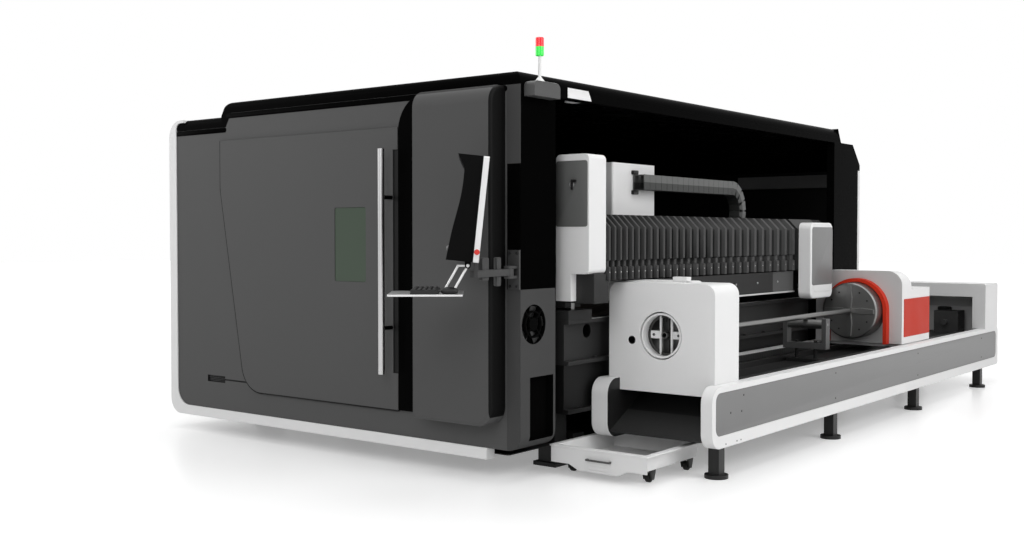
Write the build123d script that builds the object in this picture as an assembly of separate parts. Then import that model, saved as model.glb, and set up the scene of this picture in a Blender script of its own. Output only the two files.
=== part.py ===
from build123d import *
import math
import os

# Enclosed flat-bed laser cutting machine with a tube bed along its right side, in millimetres.
# It is drawn with x = 0 at the middle of the enclosure's front, y = 0 at its front face,
# +Y into the machine and z = 0 on the floor. The last lines move the origin to the middle
# of the footprint.

# Gaps and cuts shared by the whole machine
slide_gap = 0.5
turn_gap = 0.5
overrun = 5

# Enclosure walls and roof
enclosure_width = 2860
cabin_height = 1227
rear_room = 920
roof_thickness = 70
roof_corner_radius = 60
roof_front_radius = 45
shoulder_width = 560
shoulder_drop = 85
riser_run = 50
riser_wall = 45
rear_step_length = 450
rear_step_run = 60
rear_step_drop = 105
rear_slope_run = 150
rear_edge_drop = 260
hood_wall = 45
wall_thickness = 40
fascia_bottom = 160
fascia_thickness = 40
fascia_inset = 55
corner_radius = 110
side_beam_width = 50
side_beam_height = 40
pillar_thickness = 60
pillar_length = 480

# White trim, base frame and levelling feet of the enclosure
rim_overhang = 17
rim_proud = 6
rim_depth = 60
rim_radius = 95
rim_top_reach = 150
rim_top_width = 18
rim_top_radius = 115
rim_inner_share = 0.8
trim_height = 60
trim_end_gap = 215
base_bar_width = 100
base_bar_height = 70
base_end_gap = 110
base_leg_gap = 25
levelling_disc_radius = 60
levelling_disc_height = 20
levelling_stem_radius = 22

# Right front column with the fan vent, the lower recess and the console's wall bracket
column_width = 85
column_depth = 300
column_corner_share = 0.94
vent_radius = 100
vent_from_front = 112
vent_height = 800
vent_depth = 30
vent_hub_radius = 34
vent_ring_radius = 70
vent_bar = 8
vent_bar_angles = (45, 135)
recess_low = 210
recess_high = 530
recess_front = 80
recess_margin = 18
recess_depth = 45
bracket_below_arm = 72
bracket_above_arm = 128
bracket_plate = 12
bracket_width = 74
bracket_lug = 14
bracket_lug_width = 46

# Lamp tower
lamp_bracket_width = 66
lamp_bracket_length = 220
lamp_bracket_front = 30
lamp_bracket_height = 77
lamp_bracket_drop = 53
lamp_bracket_radius = 30
lamp_from_front = 116
lamp_cone_radius = 28
lamp_cone_height = 26
lamp_pole_radius = 8
lamp_pole_length = 130
lamp_radius = 21
lamp_lens_height = 47
lamp_lens_edge = 6

# Mullion band beside the door and the control pillar cover
mullion_width = 208
mullion_gap = 4
mullion_radius_share = 0.95
control_gap = 12
control_width = 521
control_foot = 128
control_depth = 125
control_corner_radius = 95
control_edge_radius = 24
control_top_radius = 90

# Sliding door with its window, handle and lower guide slot; shares run up the door's height
door_left_gap = 515
door_foot_run = 225
door_sill = 140
door_head_gap = 85
door_knee_drop = 300
door_foot_radius = 170
door_knee_radius = 400
door_thickness = 14
door_overlap = 30
door_strip_width = 35
door_strip_depth = 5
door_strip_shares = (0.13, 0.922)
window_from_edge = 243
window_width = 249
window_shares = (0.45, 0.721)
window_radius = 12
window_inset = 3
window_thickness = 8
handle_from_edge = 46
handle_radius = 18
handle_shares = (0.13, 0.923)
handle_standoff = 62
handle_standoff_radius = 11
handle_standoff_shares = (0.292, 0.753)
slot_left_gap = 360
slot_width = 170
slot_sill = 170
slot_height = 40
slot_depth = 12
slot_groove = 8

# Flat bed: welded frame, rails and slat table
bed_left_gap = 70
bed_front = 420
bed_length = 3160
bed_bottom = 300
bed_top = 853
bed_seat_height = 53
bed_side_beam = 220
bed_end_wall = 60
bed_ledge = 80
bed_ledge_drop = 160
bed_floor = 60
bed_flange_reach = 30
bed_flange_height = 22
bed_mid_flange = 260
bed_hole_radius = 38
bed_hole_from_front = 215
bed_hole_drop = 45
bed_leg = 110
bed_leg_foot = 150
bed_leg_foot_height = 22
bed_leg_x_shares = (-0.86, -0.2, 0.45, 0.97)
rail_width = 30
rail_height = 40
rail_from_edge = 100
rail_end_gap = 12
table_gap = 2
table_frame_width = 60
table_frame_height = 80
slat_count = 20
slat_thickness = 6
slat_height = 70
slat_tooth_depth = 24
slat_tooth_count = 9

# Gantry over the flat bed, drawn at its right end over the tube bed
gantry_reach = 150
beam_width = 200
beam_lift = 159
beam_height = 318
beam_chamfer = 60
beam_front_gap = 141
beam_rear_gap = 80
bellows_depth = 38
bellows_chamfer = 70
bellows_roof_width = 130
bellows_front_folds = 28
bellows_rear_folds = 2
bellows_growth_share = 1.032
bellows_fold_share = 0.42
bellows_valley = 17
end_box_width = 211
end_box_depth = 161
end_box_lift = 197
end_box_height = 630
end_box_radius = 28
end_box_setback = 8
end_box_leg_width = 97
end_box_leg_length = 145
end_box_leg_gap = 1
carriage_length = 562
carriage_width = 140
carriage_cheek = 28
rear_plate_reach = 40
cable_box_width = 200
cable_box_from_front = 572
cable_box_length = 478
cable_box_sink = 84
cable_box_height = 438
cable_box_radius = 14
tray_wall = 6
tray_length = 1300
chain_width = 78
chain_link_height = 92
chain_pitch = 67
chain_link_gap_share = 0.12
chain_radius = 150
chain_bend_lift = 92
chain_from_front = 779
chain_upper_links = 17
chain_loop_links = 8
chain_lower_links = 3
chain_clamp_length = 110

# Cutting head on the gantry
head_rear_gap = 150
head_length = 375
head_clearance = 15
head_cover_height = 528
head_cover_depth = 92
head_cover_radius = 48
head_edge_radius = 10
head_inset_margin = 46
head_inset_depth = 3
head_inset_radius = 22
head_plate_gap = 8
head_lift_guide = 20
nozzle_clearance = 5
nozzle_radius = 26
nozzle_tip_radius = 7
nozzle_cone = 26
nozzle_bore_depth = 90

# Tube bed beside the enclosure
tube_bed_width = 735
tube_bed_left_width = 105
tube_bed_right_width = 65
tube_bed_front = 640
tube_bed_low = 155
tube_bed_height = 320
tube_bed_front_radius = 85
tube_bed_rear_radius = 30
inset_front = 40
inset_rear = 60
inset_low = 65
inset_high = 32
inset_depth = 4
inset_radius = 45
deck_front_gap = 6
deck_rear_gap = 40
deck_drop = 55
deck_thickness = 40
tube_rail_width = 30
tube_rail_height = 35
tube_rail_spread = 340
tube_rail_front_gap = 114
tube_rail_rear_gap = 50
rack_width = 26
rack_height = 22
rack_offset = 60
foot_column = 62
foot_disc_radius = 62
foot_disc_height = 20
foot_length_shares = (0.0212, 0.3113, 0.6045, 0.908)
foot_left_first_share = 0.0817

# Front chuck, its housing and the chute, and the axis that both chucks share
axis_from_left = 360
axis_lift = 241
housing_left_inset = 35
housing_right_inset = 50
housing_front_inset = 120
housing_depth = 270
housing_head_gap = 6
housing_radius = 62
housing_skirt_drop = 65
housing_hole_radius = 22
housing_hole_side = 178
housing_hole_drop = 31
housing_hole_depth = 60
cap_depth = 180
cap_height = 118
cap_step = 8
cap_left_reach = 110
cap_right_inset = 215
cap_radius = 30
ring_radius = 128
ring_bore = 96
ring_recess = 60
ring_rear_inset = 20
jaw_width = 44
jaw_depth = 90
jaw_recess = 12
jaw_count = 4
tube_radius = 17.5
tube_bore = 14
jaw_grip_gap = 0.5
chute_front_inset = 22
chute_front_lift = 40
chute_rear_lift = 240
chute_thickness = 8

# Tube support between the chucks
support_from_front = 2010
support_base_width = 230
support_base_length = 130
support_base_height = 22
support_post_radius = 12
support_post_spread = 130
support_post_height = 140
support_yoke_width = 300
support_yoke_length = 64
support_yoke_lift = 85
support_yoke_bar = 40
support_yoke_arm = 30
support_yoke_drop = 10
support_roller_radius = 30
support_pin_radius = 9

# Rear chuck on its carriage
rear_from_head = 208
rear_run = 1250
rear_length = 592
rear_step_from_face = 202
rear_slope = 40
rear_left_inset = 40
rear_right_inset = 55
rear_lift = 5
rear_head_gap = 12
rear_top_step = 130
rear_radius = 105
rear_shoe_inset = 30
rear_shoe_front = 45
disc_radius = 200
disc_length = 165
disc_edge_radius = 12
rear_jaw_width = 46
rear_jaw_tip = 30
rear_jaw_depth = 14
rear_jaw_reach_share = 0.9
tube_front_inset = 40
tube_rear_seat = 40
arch_gap = 30
arch_thickness = 26
arch_depth = 60
red_panel_front = 42
red_panel_rear = 14
red_panel_lift = 50
red_panel_height = 270
red_panel_proud = 5

# End gate and drive motor of the tube bed
gate_rear_inset = 20
gate_depth = 360
gate_height = 375
gate_wall = 105
gate_lintel = 110
gate_edge_radius = 16
motor_width = 200
motor_setback = 80
motor_length = 190
motor_height = 190
motor_shaft_radius = 24
motor_shaft_length = 60

# Scrap trolley under the front chuck
tray_left_overlap = 43
tray_width = 588
tray_front_reach = 318
tray_depth = 593
tray_floor = 66
tray_sheet = 4
tray_flange = 22
tray_taper = 8
apron_low = 62
apron_lobe_low = 34
apron_lobe_width = 240
apron_lobe_slope = 60
apron_slot_width = 120
apron_slot_height = 18
apron_slot_above = 14
wheel_radius = 25
wheel_width = 24
wheel_edge_radius = 4
axle_radius = 5
axle_clearance = 0.3
fork_gap = 1.5
fork_sheet = 4
fork_drop = 12
caster_side_inset = 62
caster_front_inset = 120
caster_rear_inset = 86

# Operator console
console_turn = -50.3
console_side = 2
console_front = 374
pivot_inset = 34
pivot_front = 55
pivot_radius = 13
arm_eye_radius = 27
arm_drop = 77
arm_height = 34
arm_width = 36
monitor_tilt = -6
monitor_low = 1129
monitor_height = 489
monitor_width = 420
monitor_slab = 27
monitor_radius = 12
monitor_post = 44
post_inset = 4
hood_width = 400
hood_base_depth = 125
hood_chin_depth = 114
hood_waist_depth = 82
hood_top_depth = 118
hood_chin_share = 0.22
hood_waist_share = 0.76
hood_brow_share = 0.87
screen_margin = 30
screen_depth = 26
tray_plate_length = 350
tray_plate_width = 380
tray_plate_thickness = 9
tray_plate_drop = 157
tray_plate_start = 45
tray_plate_radius = 18
tray_rod_radius = 6
tray_rod_x = 70
tray_rod_spread = 45
tray_rod_drop = 55
hinge_pin_radius = 8
hinge_leaf_height = 10
hinge_lug = 8
hinge_lug_radius = 14
hinge_drop = 18
hinge_setback = 24
keyboard_length = 130
keyboard_width = 320
keyboard_height = 18
keyboard_start = 115
keyboard_radius = 6
estop_radius = 13
estop_height = 14
estop_collar_radius = 13
estop_collar_height = 8
estop_stem_radius = 7
estop_travel_gap = 8
estop_above = 36
estop_edge_radius = 4

# Enclosure places worked out from the sizes above
half_width = enclosure_width / 2
bed_rear = bed_front + bed_length
rear_y = bed_rear + rear_room
roof_top = bed_top + cabin_height
roof_under = roof_top - roof_thickness
shoulder_top = roof_top - shoulder_drop
shoulder_under = roof_under - shoulder_drop
shoulder_right = -half_width + shoulder_width
riser_low_x = shoulder_right - riser_run + riser_wall
riser_high_x = shoulder_right + riser_wall
step_y = rear_y - rear_step_length
fascia_left = -half_width + fascia_inset
rim_left = -half_width - rim_overhang
roof_left = rim_left + rim_top_reach
rim_inner_radius = rim_inner_share * (roof_thickness - rim_top_width)
trim_bottom = fascia_bottom - trim_height
base_bottom = fascia_bottom - base_bar_height
column_left = half_width - column_width
wall_inner = rim_left + wall_thickness
pillar_front = rear_y - wall_thickness - pillar_length
lamp_bracket_top = roof_top - lamp_bracket_drop
control_right = column_left - control_gap
control_left = control_right - control_width
door_right = control_left - mullion_width - mullion_gap
door_left = -half_width + door_left_gap
door_foot_left = door_left + door_foot_run
door_bottom = fascia_bottom + door_sill
door_top = shoulder_under - door_head_gap
window_right = door_right - window_from_edge
slot_left = -half_width + slot_left_gap
slot_low = fascia_bottom + slot_sill

# Flat bed, gantry and head places
bed_left = -half_width + bed_left_gap
bed_right = half_width - bed_flange_reach
bed_frame_top = bed_top - bed_seat_height
bed_ledge_height = bed_frame_top - bed_ledge_drop
rail_y = (bed_front + rail_from_edge, bed_rear - rail_from_edge)
rail_top = bed_top + rail_height
base_front = rail_y[0] + bed_leg_foot / 2 + base_leg_gap
gantry_face = half_width + gantry_reach
beam_bottom = bed_top + beam_lift
beam_top = beam_bottom + beam_height
beam_front = bed_front + beam_front_gap
beam_rear = bed_rear - beam_rear_gap
beam_x = (gantry_face - bellows_depth - beam_width, gantry_face - bellows_depth)
end_box_right = gantry_face - end_box_setback
end_box_low = bed_top + end_box_lift
carriage_left = end_box_right - carriage_length
cable_box_low = beam_top - cable_box_sink
chain_x = (beam_x[0] - tray_wall - chain_width - tray_wall, beam_x[0] - tray_wall)
chain_bend_z = beam_top + chain_bend_lift
chain_start = beam_front + chain_from_front
head_rear = beam_rear - head_rear_gap
head_front = head_rear - head_length
head_cover_low = bed_frame_top + head_clearance
nozzle_tip = bed_frame_top + nozzle_clearance

# Tube bed, chuck and trolley places
tube_bed_left_out = half_width
tube_bed_right_out = tube_bed_left_out + tube_bed_width
tube_bed_high = tube_bed_low + tube_bed_height
tube_bed_inner = (tube_bed_left_out + tube_bed_left_width, tube_bed_right_out - tube_bed_right_width)
housing_left = tube_bed_left_out + housing_left_inset
housing_right = tube_bed_right_out - housing_right_inset
housing_front = tube_bed_front + housing_front_inset
housing_rear = housing_front + housing_depth
cap_top = beam_bottom - housing_head_gap
housing_top = cap_top - cap_step
axis_x = tube_bed_left_out + axis_from_left
axis_z = tube_bed_high + axis_lift
deck_high = tube_bed_high - deck_drop
deck_mid = (tube_bed_inner[0] + tube_bed_inner[1]) / 2
deck_front = housing_rear + deck_front_gap
rear_face = head_rear + rear_from_head
rear_end = rear_face + rear_length
gate_front = rear_end + rear_run
gate_rear = gate_front + gate_depth
gate_top = tube_bed_high + gate_height
tube_bed_rear = gate_rear + gate_rear_inset
tube_bed_length = tube_bed_rear - tube_bed_front
tube_rail_front = deck_front + tube_rail_front_gap
tube_rail_rear = gate_front - tube_rail_rear_gap
tube_rail_top = deck_high + tube_rail_height
support_y = tube_bed_front + support_from_front
support_yoke_low = deck_high + support_yoke_lift
rear_left = tube_bed_left_out + rear_left_inset
rear_right = tube_bed_right_out - rear_right_inset
rear_low = tube_bed_high + rear_lift
rear_top = beam_bottom - rear_head_gap
disc_front = rear_face - turn_gap - disc_length
arch_radius = disc_radius + arch_gap
tray_left = half_width - tray_left_overlap
tray_right = tray_left + tray_width
tray_front = tube_bed_front - tray_front_reach
tray_rear = tray_front + tray_depth
tray_rim = tube_bed_low - slide_gap
wheel_places = [
    (x, y)
    for x in (tray_left + caster_side_inset, tray_right - caster_side_inset)
    for y in (tray_front + caster_front_inset, tray_rear - caster_rear_inset)
]

# Console places
console_x = half_width + console_side
console_y = -console_front
pivot_x = half_width - pivot_inset
pivot_y = -pivot_front
arm_low = monitor_low - arm_drop
tray_plate_low = monitor_low - tray_plate_drop
hinge_y = -hinge_setback
hinge_z = monitor_low - hinge_drop
hinge_reach = tray_rod_x + turn_gap + hinge_lug


def outline(*corners):
    """Closed face through (u, v, radius) corners, each rounded by its own radius."""
    points = [(u, v) for u, v, radius in corners]
    radii = [radius for u, v, radius in corners]
    return make_face(FilletPolyline(*points, radius=radii, close=True))


def rounded_panel(u, v, radius):
    """Rectangle between two (low, high) pairs, all its corners rounded."""
    return outline((u[0], v[0], radius), (u[1], v[0], radius), (u[1], v[1], radius), (u[0], v[1], radius))


def sharp(*points):
    """Closed face through sharp (u, v) corners."""
    return make_face(Polyline(*points, close=True))


def block(x, y, z):
    """Box from its (low, high) pairs."""
    size = [pair[1] - pair[0] for pair in (x, y, z)]
    centre = [(pair[1] + pair[0]) / 2 for pair in (x, y, z)]
    return Pos(*centre) * Box(*size)


def prism_xz(face, y):
    """Face drawn in x and z, run from y[0] to y[1]."""
    return Pos(0, y[1], 0) * extrude(Plane.XZ * face, y[1] - y[0])


def prism_yz(face, x):
    """Face drawn in y and z, run from x[0] to x[1]."""
    return Pos(x[0], 0, 0) * extrude(Plane.YZ * face, x[1] - x[0])


def prism_xy(face, z):
    """Face drawn in x and y, run from z[0] to z[1]."""
    return Pos(0, 0, z[0]) * extrude(face, z[1] - z[0])


def rod_x(radius, x, y, z):
    return Pos((x[0] + x[1]) / 2, y, z) * Rot(0, 90, 0) * Cylinder(radius, x[1] - x[0])


def rod_y(radius, x, y, z):
    return Pos(x, (y[0] + y[1]) / 2, z) * Rot(90, 0, 0) * Cylinder(radius, y[1] - y[0])


def rod_z(radius, x, y, z):
    return Pos(x, y, (z[0] + z[1]) / 2) * Cylinder(radius, z[1] - z[0])


def rod_between(radius, start, end):
    """Round bar from one point to another."""
    return extrude(Plane(start, z_dir=Vector(*end) - Vector(*start)) * Circle(radius),
                   (Vector(*end) - Vector(*start)).length)


def door_z(shares):
    """Two heights on the door, as shares of its own height."""
    return [door_bottom + share * (door_top - door_bottom) for share in shares]


def door_outline(margin):
    """The door's outline, drawn in by a margin all round."""
    return outline(
        (door_left + margin, door_top - margin, 0),
        (door_right - margin, door_top - margin, 0),
        (door_right - margin, door_bottom + margin, 0),
        (door_foot_left + margin, door_bottom + margin, door_foot_radius - margin),
        (door_left + margin, door_top - door_knee_drop, door_knee_radius),
    )


def make_front_fascia():
    face = outline(
        (fascia_left, fascia_bottom, corner_radius),
        (column_left, fascia_bottom, 0),
        (column_left, roof_under, 0),
        (riser_high_x, roof_under, 0),
        (riser_low_x, shoulder_under, 0),
        (fascia_left, shoulder_under, 0),
    )
    panel = prism_xz(face - door_outline(door_overlap), (0, fascia_thickness))
    slot_right = slot_left + slot_width
    slot = block((slot_left, slot_right), (-overrun, slot_depth), (slot_low, slot_low + slot_height))
    groove_mid = slot_low + slot_height / 2
    groove = block((slot_right, door_foot_left), (-overrun, slot_groove),
                   (groove_mid - slot_groove / 2, groove_mid + slot_groove / 2))
    return panel - slot - groove


def front_rounding(top, x):
    """Block whose upper front edge is rounded, to cut the roof's front with."""
    return prism_yz(outline((0, fascia_bottom, 0), (0, top, roof_front_radius), (step_y, top, 0),
                            (step_y, fascia_bottom, 0)), x)


def make_roof():
    riser_x = shoulder_right - riser_run
    profile = outline(
        (roof_left, shoulder_under, 0),
        (roof_left, shoulder_top, 0),
        (riser_x, shoulder_top, 0),
        (shoulder_right, roof_top, roof_corner_radius),
        (half_width, roof_top, roof_corner_radius),
        (half_width, roof_under, 0),
        (riser_high_x, roof_under, 0),
        (riser_low_x, shoulder_under, 0),
    )
    main = prism_xz(profile, (0, step_y))
    main = main & (front_rounding(roof_top, (riser_x, half_width))
                   + front_rounding(shoulder_top, (roof_left, riser_x)))
    lip_face = outline(
        (fascia_left, shoulder_under, 0),
        (roof_left, shoulder_under, 0),
        (roof_left, shoulder_top - rim_top_width, 0),
        (fascia_left, shoulder_top - rim_top_width, rim_inner_radius),
    )
    lip = prism_xz(lip_face, (0, rim_depth))
    shoulder_face = sharp(
        (roof_left, shoulder_under),
        (roof_left, shoulder_top),
        (riser_x, shoulder_top),
        (riser_low_x, shoulder_under),
    )
    shoulder_end = prism_xz(shoulder_face, (step_y, rear_y))
    low_top = roof_top - rear_step_drop
    edge_top = roof_top - rear_edge_drop
    hood_face = sharp(
        (step_y, shoulder_under),
        (step_y, roof_top),
        (step_y + rear_step_run, low_top),
        (rear_y - rear_slope_run, low_top),
        (rear_y, edge_top),
        (rear_y, edge_top - hood_wall),
        (rear_y - wall_thickness, edge_top - hood_wall),
        (rear_y - rear_slope_run - hood_wall, shoulder_under),
    )
    hood = prism_yz(hood_face, (riser_x, half_width))
    return main + lip + shoulder_end + hood


def make_roof_side_beam():
    return block((half_width - side_beam_width, half_width), (column_depth, step_y),
                 (roof_under - side_beam_height, roof_under))


def make_rear_pillar():
    slope_low = roof_top - rear_edge_drop - hood_wall
    face = sharp(
        (pillar_front, fascia_bottom),
        (rear_y - wall_thickness, fascia_bottom),
        (rear_y - wall_thickness, slope_low),
        (rear_y - rear_slope_run - hood_wall, shoulder_under),
        (step_y, shoulder_under),
        (step_y, roof_under - side_beam_height),
        (pillar_front, roof_under - side_beam_height),
    )
    return prism_yz(face, (half_width - pillar_thickness, half_width))


def make_rear_wall():
    edge = roof_top - rear_edge_drop - hood_wall
    face = sharp(
        (wall_inner, fascia_bottom),
        (half_width, fascia_bottom),
        (half_width, edge),
        (shoulder_right - riser_run, edge),
        (shoulder_right - riser_run, shoulder_under),
        (wall_inner, shoulder_under),
    )
    return prism_xz(face, (rear_y - wall_thickness, rear_y))


def make_left_wall():
    face = outline(
        (rim_left, fascia_bottom, 0),
        (wall_inner, fascia_bottom, 0),
        (wall_inner, shoulder_under, 0),
        (roof_left, shoulder_under, 0),
        (roof_left, shoulder_top, 0),
        (rim_left, shoulder_top, rim_top_radius),
    )
    return prism_xz(face, (rim_depth, rear_y))


def make_base_trim():
    face = outline(
        (rim_left, trim_bottom, rim_radius),
        (half_width - trim_end_gap, trim_bottom, 0),
        (half_width - trim_end_gap, fascia_bottom, 0),
        (fascia_left, fascia_bottom, corner_radius),
        (fascia_left, shoulder_top - rim_top_width, rim_inner_radius),
        (roof_left, shoulder_top - rim_top_width, 0),
        (roof_left, shoulder_top, 0),
        (rim_left, shoulder_top, rim_top_radius),
    )
    return prism_xz(face, (-rim_proud, rim_depth))


def make_enclosure_base():
    right = half_width - base_end_gap
    left = (rim_left, rim_left + base_bar_width)
    height = (base_bottom, fascia_bottom)
    rear = (rear_y - base_bar_width, rear_y)
    frame = block(left, (rim_depth, rear_y), height)
    frame += block((left[0], right), (base_front, base_front + base_bar_width), height)
    return frame + block((left[0], right), rear, height)


def make_base_feet():
    left = rim_left + base_bar_width
    right = half_width - base_end_gap - base_bar_width
    feet = []
    for x in (left, (left + right) / 2, right):
        for y in (base_front + base_bar_width / 2, rear_y - base_bar_width / 2):
            foot = rod_z(levelling_stem_radius, x, y, (0, base_bottom))
            feet.append(foot + rod_z(levelling_disc_radius, x, y, (0, levelling_disc_height)))
    return Compound(children=feet)


def make_side_column():
    face = outline(
        (column_left, fascia_bottom, 0),
        (half_width, fascia_bottom, column_width * column_corner_share),
        (half_width, roof_under, 0),
        (column_left, roof_under, 0),
    )
    column = prism_xz(face, (0, column_depth))
    face_x = (half_width - vent_depth, half_width + overrun)
    vent = rod_x(vent_radius, face_x, vent_from_front, vent_height)
    grille_x = (half_width - vent_depth, half_width)
    rings = rod_x(vent_ring_radius, grille_x, vent_from_front, vent_height)
    rings -= rod_x(vent_ring_radius - vent_bar, face_x, vent_from_front, vent_height)
    rings += rod_x(vent_hub_radius, grille_x, vent_from_front, vent_height)
    for angle in vent_bar_angles:
        bar = block(grille_x, (-vent_radius, vent_radius), (-vent_bar / 2, vent_bar / 2))
        rings += Pos(0, vent_from_front, vent_height) * Rot(angle, 0, 0) * bar
    column = column - vent + rings
    recess = block((half_width - recess_depth, half_width + overrun),
                   (recess_front, column_depth - recess_margin), (recess_low, recess_high))
    return column - recess


def make_control_pillar():
    low = fascia_bottom + control_foot
    face = outline(
        (control_left, low, 0),
        (control_right, low, control_corner_radius),
        (control_right, roof_under, 0),
        (control_left, roof_under, 0),
    )
    cover = prism_xz(face, (-control_depth, 0))
    top_front = cover.edges().filter_by(Axis.X).group_by(Axis.Z)[-1].sort_by(Axis.Y)[0]
    cover = fillet(top_front, control_top_radius)
    side_front = cover.edges().filter_by(Axis.Z).group_by(Axis.X)[-1].sort_by(Axis.Y)[0]
    return fillet(side_front, control_edge_radius)


def make_door_mullion():
    left = door_right + mullion_gap
    face = outline(
        (left, door_bottom, 0),
        (control_left, door_bottom, 0),
        (control_left, roof_under, 0),
        (left, roof_under, mullion_width * mullion_radius_share),
    )
    return prism_xz(face, (-door_thickness, 0))


def make_lamp_pole():
    x = half_width + lamp_bracket_width / 2
    body = block((half_width, half_width + lamp_bracket_width),
                 (lamp_bracket_front, lamp_bracket_front + lamp_bracket_length),
                 (lamp_bracket_top - lamp_bracket_height, lamp_bracket_top))
    tops = body.edges().filter_by(Axis.X).group_by(Axis.Z)[-1]
    body = fillet(tops, lamp_bracket_radius)
    cone = Pos(x, lamp_from_front, lamp_bracket_top + lamp_cone_height / 2)
    body += cone * Cone(lamp_cone_radius, lamp_pole_radius, lamp_cone_height)
    pole_z = (lamp_bracket_top, lamp_bracket_top + lamp_pole_length)
    return body + rod_z(lamp_pole_radius, x, lamp_from_front, pole_z)


def make_lamp_lenses():
    x = half_width + lamp_bracket_width / 2
    low = lamp_bracket_top + lamp_pole_length
    lenses = []
    for step, rounded in ((0, 0), (1, -1)):
        lens = rod_z(lamp_radius, x, lamp_from_front,
                     (low + step * lamp_lens_height, low + (step + 1) * lamp_lens_height))
        rim = lens.edges().group_by(Axis.Z)[rounded]
        lenses.append(fillet(rim, lamp_lens_edge))
    return Compound(children=lenses)


def make_console_bracket():
    x = pivot_x
    plate = block((x - bracket_width / 2, half_width), (-bracket_plate, 0),
                  (arm_low - bracket_below_arm, arm_low + bracket_above_arm))
    pin_z = (arm_low - turn_gap - bracket_lug, arm_low + arm_height + turn_gap + bracket_lug)
    for low in (pin_z[0], pin_z[1] - bracket_lug):
        plate += block((x - bracket_lug_width / 2, x + bracket_lug_width / 2),
                       (pivot_y, -bracket_plate), (low, low + bracket_lug))
        plate += rod_z(bracket_lug_width / 2, x, pivot_y, (low, low + bracket_lug))
    return plate + rod_z(pivot_radius, x, pivot_y, pin_z)


def make_main_bed():
    frame = block((bed_left, bed_right), (bed_front, bed_rear), (bed_bottom, bed_frame_top))
    pocket_x = (bed_left + bed_end_wall, bed_right - bed_end_wall)
    pocket_y = (bed_front + bed_side_beam, bed_rear - bed_side_beam)
    frame -= block(pocket_x, pocket_y, (bed_ledge_height, bed_frame_top + overrun))
    frame -= block((pocket_x[0] + bed_ledge, pocket_x[1] - bed_ledge),
                   (pocket_y[0] + bed_ledge, pocket_y[1] - bed_ledge),
                   (bed_bottom + bed_floor, bed_frame_top))
    for low in (bed_bottom, bed_bottom + bed_mid_flange, bed_frame_top - bed_flange_height):
        frame += block((bed_right, bed_right + bed_flange_reach), (bed_front, bed_rear),
                       (low, low + bed_flange_height))
    frame -= rod_x(bed_hole_radius, (pocket_x[1] - overrun, bed_right + overrun),
                   bed_front + bed_hole_from_front, bed_frame_top - bed_flange_height - bed_hole_drop)
    pieces = [frame]
    for seat_y in ((bed_front, pocket_y[0]), (pocket_y[1], bed_rear)):
        pieces.append(block((bed_left, bed_right + bed_flange_reach), seat_y, (bed_frame_top, bed_top)))
    return Compound(children=pieces)


def make_bed_legs():
    centre = (bed_left + bed_right) / 2
    reach = (bed_right - bed_left) / 2 - bed_leg
    legs = []
    for share in bed_leg_x_shares:
        for y in rail_y:
            x = centre + share * reach
            leg = block((x - bed_leg / 2, x + bed_leg / 2), (y - bed_leg / 2, y + bed_leg / 2),
                        (0, bed_bottom))
            legs.append(leg + block((x - bed_leg_foot / 2, x + bed_leg_foot / 2),
                                    (y - bed_leg_foot / 2, y + bed_leg_foot / 2), (0, bed_leg_foot_height)))
    return Compound(children=legs)


def make_bed_rails():
    rails = [
        block((bed_left + rail_end_gap, bed_right - rail_end_gap),
              (y - rail_width / 2, y + rail_width / 2), (bed_top, rail_top))
        for y in rail_y
    ]
    return Compound(children=rails)


def make_slat_table():
    left = bed_left + bed_end_wall + table_gap
    right = bed_right - bed_end_wall - table_gap
    front = bed_front + bed_side_beam + table_gap
    rear = bed_rear - bed_side_beam - table_gap
    top = bed_ledge_height + table_frame_height
    frame = block((left, right), (front, rear), (bed_ledge_height, top))
    frame -= block((left + table_frame_width, right - table_frame_width),
                   (front + table_frame_width, rear - table_frame_width),
                   (bed_ledge_height - overrun, top + overrun))
    pitch = (rear - front) / slat_tooth_count
    teeth = []
    for tooth in range(slat_tooth_count):
        teeth.append((front + tooth * pitch, top + slat_height - slat_tooth_depth))
        teeth.append((front + (tooth + 1 / 2) * pitch, top + slat_height))
    teeth.append((rear, top + slat_height - slat_tooth_depth))
    face = sharp((front, top), *teeth, (rear, top))
    spacing = (right - left) / slat_count
    pieces = [frame]
    for slat in range(slat_count):
        x = left + (slat + 1 / 2) * spacing
        pieces.append(prism_yz(face, (x - slat_thickness / 2, x + slat_thickness / 2)))
    return Compound(children=pieces)


def window_face():
    """The window's outline, drawn in x and z on the door."""
    low, high = door_z(window_shares)
    middle = Pos(window_right - window_width / 2, (low + high) / 2)
    return middle * RectangleRounded(window_width, high - low, window_radius)


def make_door_panel():
    front = -door_thickness - slide_gap
    panel = prism_xz(door_outline(0), (front, -slide_gap))
    panel -= prism_xz(window_face(), (front - overrun, overrun))
    return panel - block((door_right - door_strip_width, door_right + overrun),
                         (front - overrun, front + door_strip_depth), door_z(door_strip_shares))


def make_door_window():
    front = -door_thickness - slide_gap + window_inset
    return prism_xz(window_face(), (front, front + window_thickness))


def make_door_handle():
    x = door_right - handle_from_edge
    seat = -door_thickness - slide_gap
    bar_y = seat - handle_standoff - handle_radius
    bar = rod_z(handle_radius, x, bar_y, door_z(handle_shares))
    for z in door_z(handle_standoff_shares):
        bar += rod_y(handle_standoff_radius, x, (bar_y, seat), z)
    return bar


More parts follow.
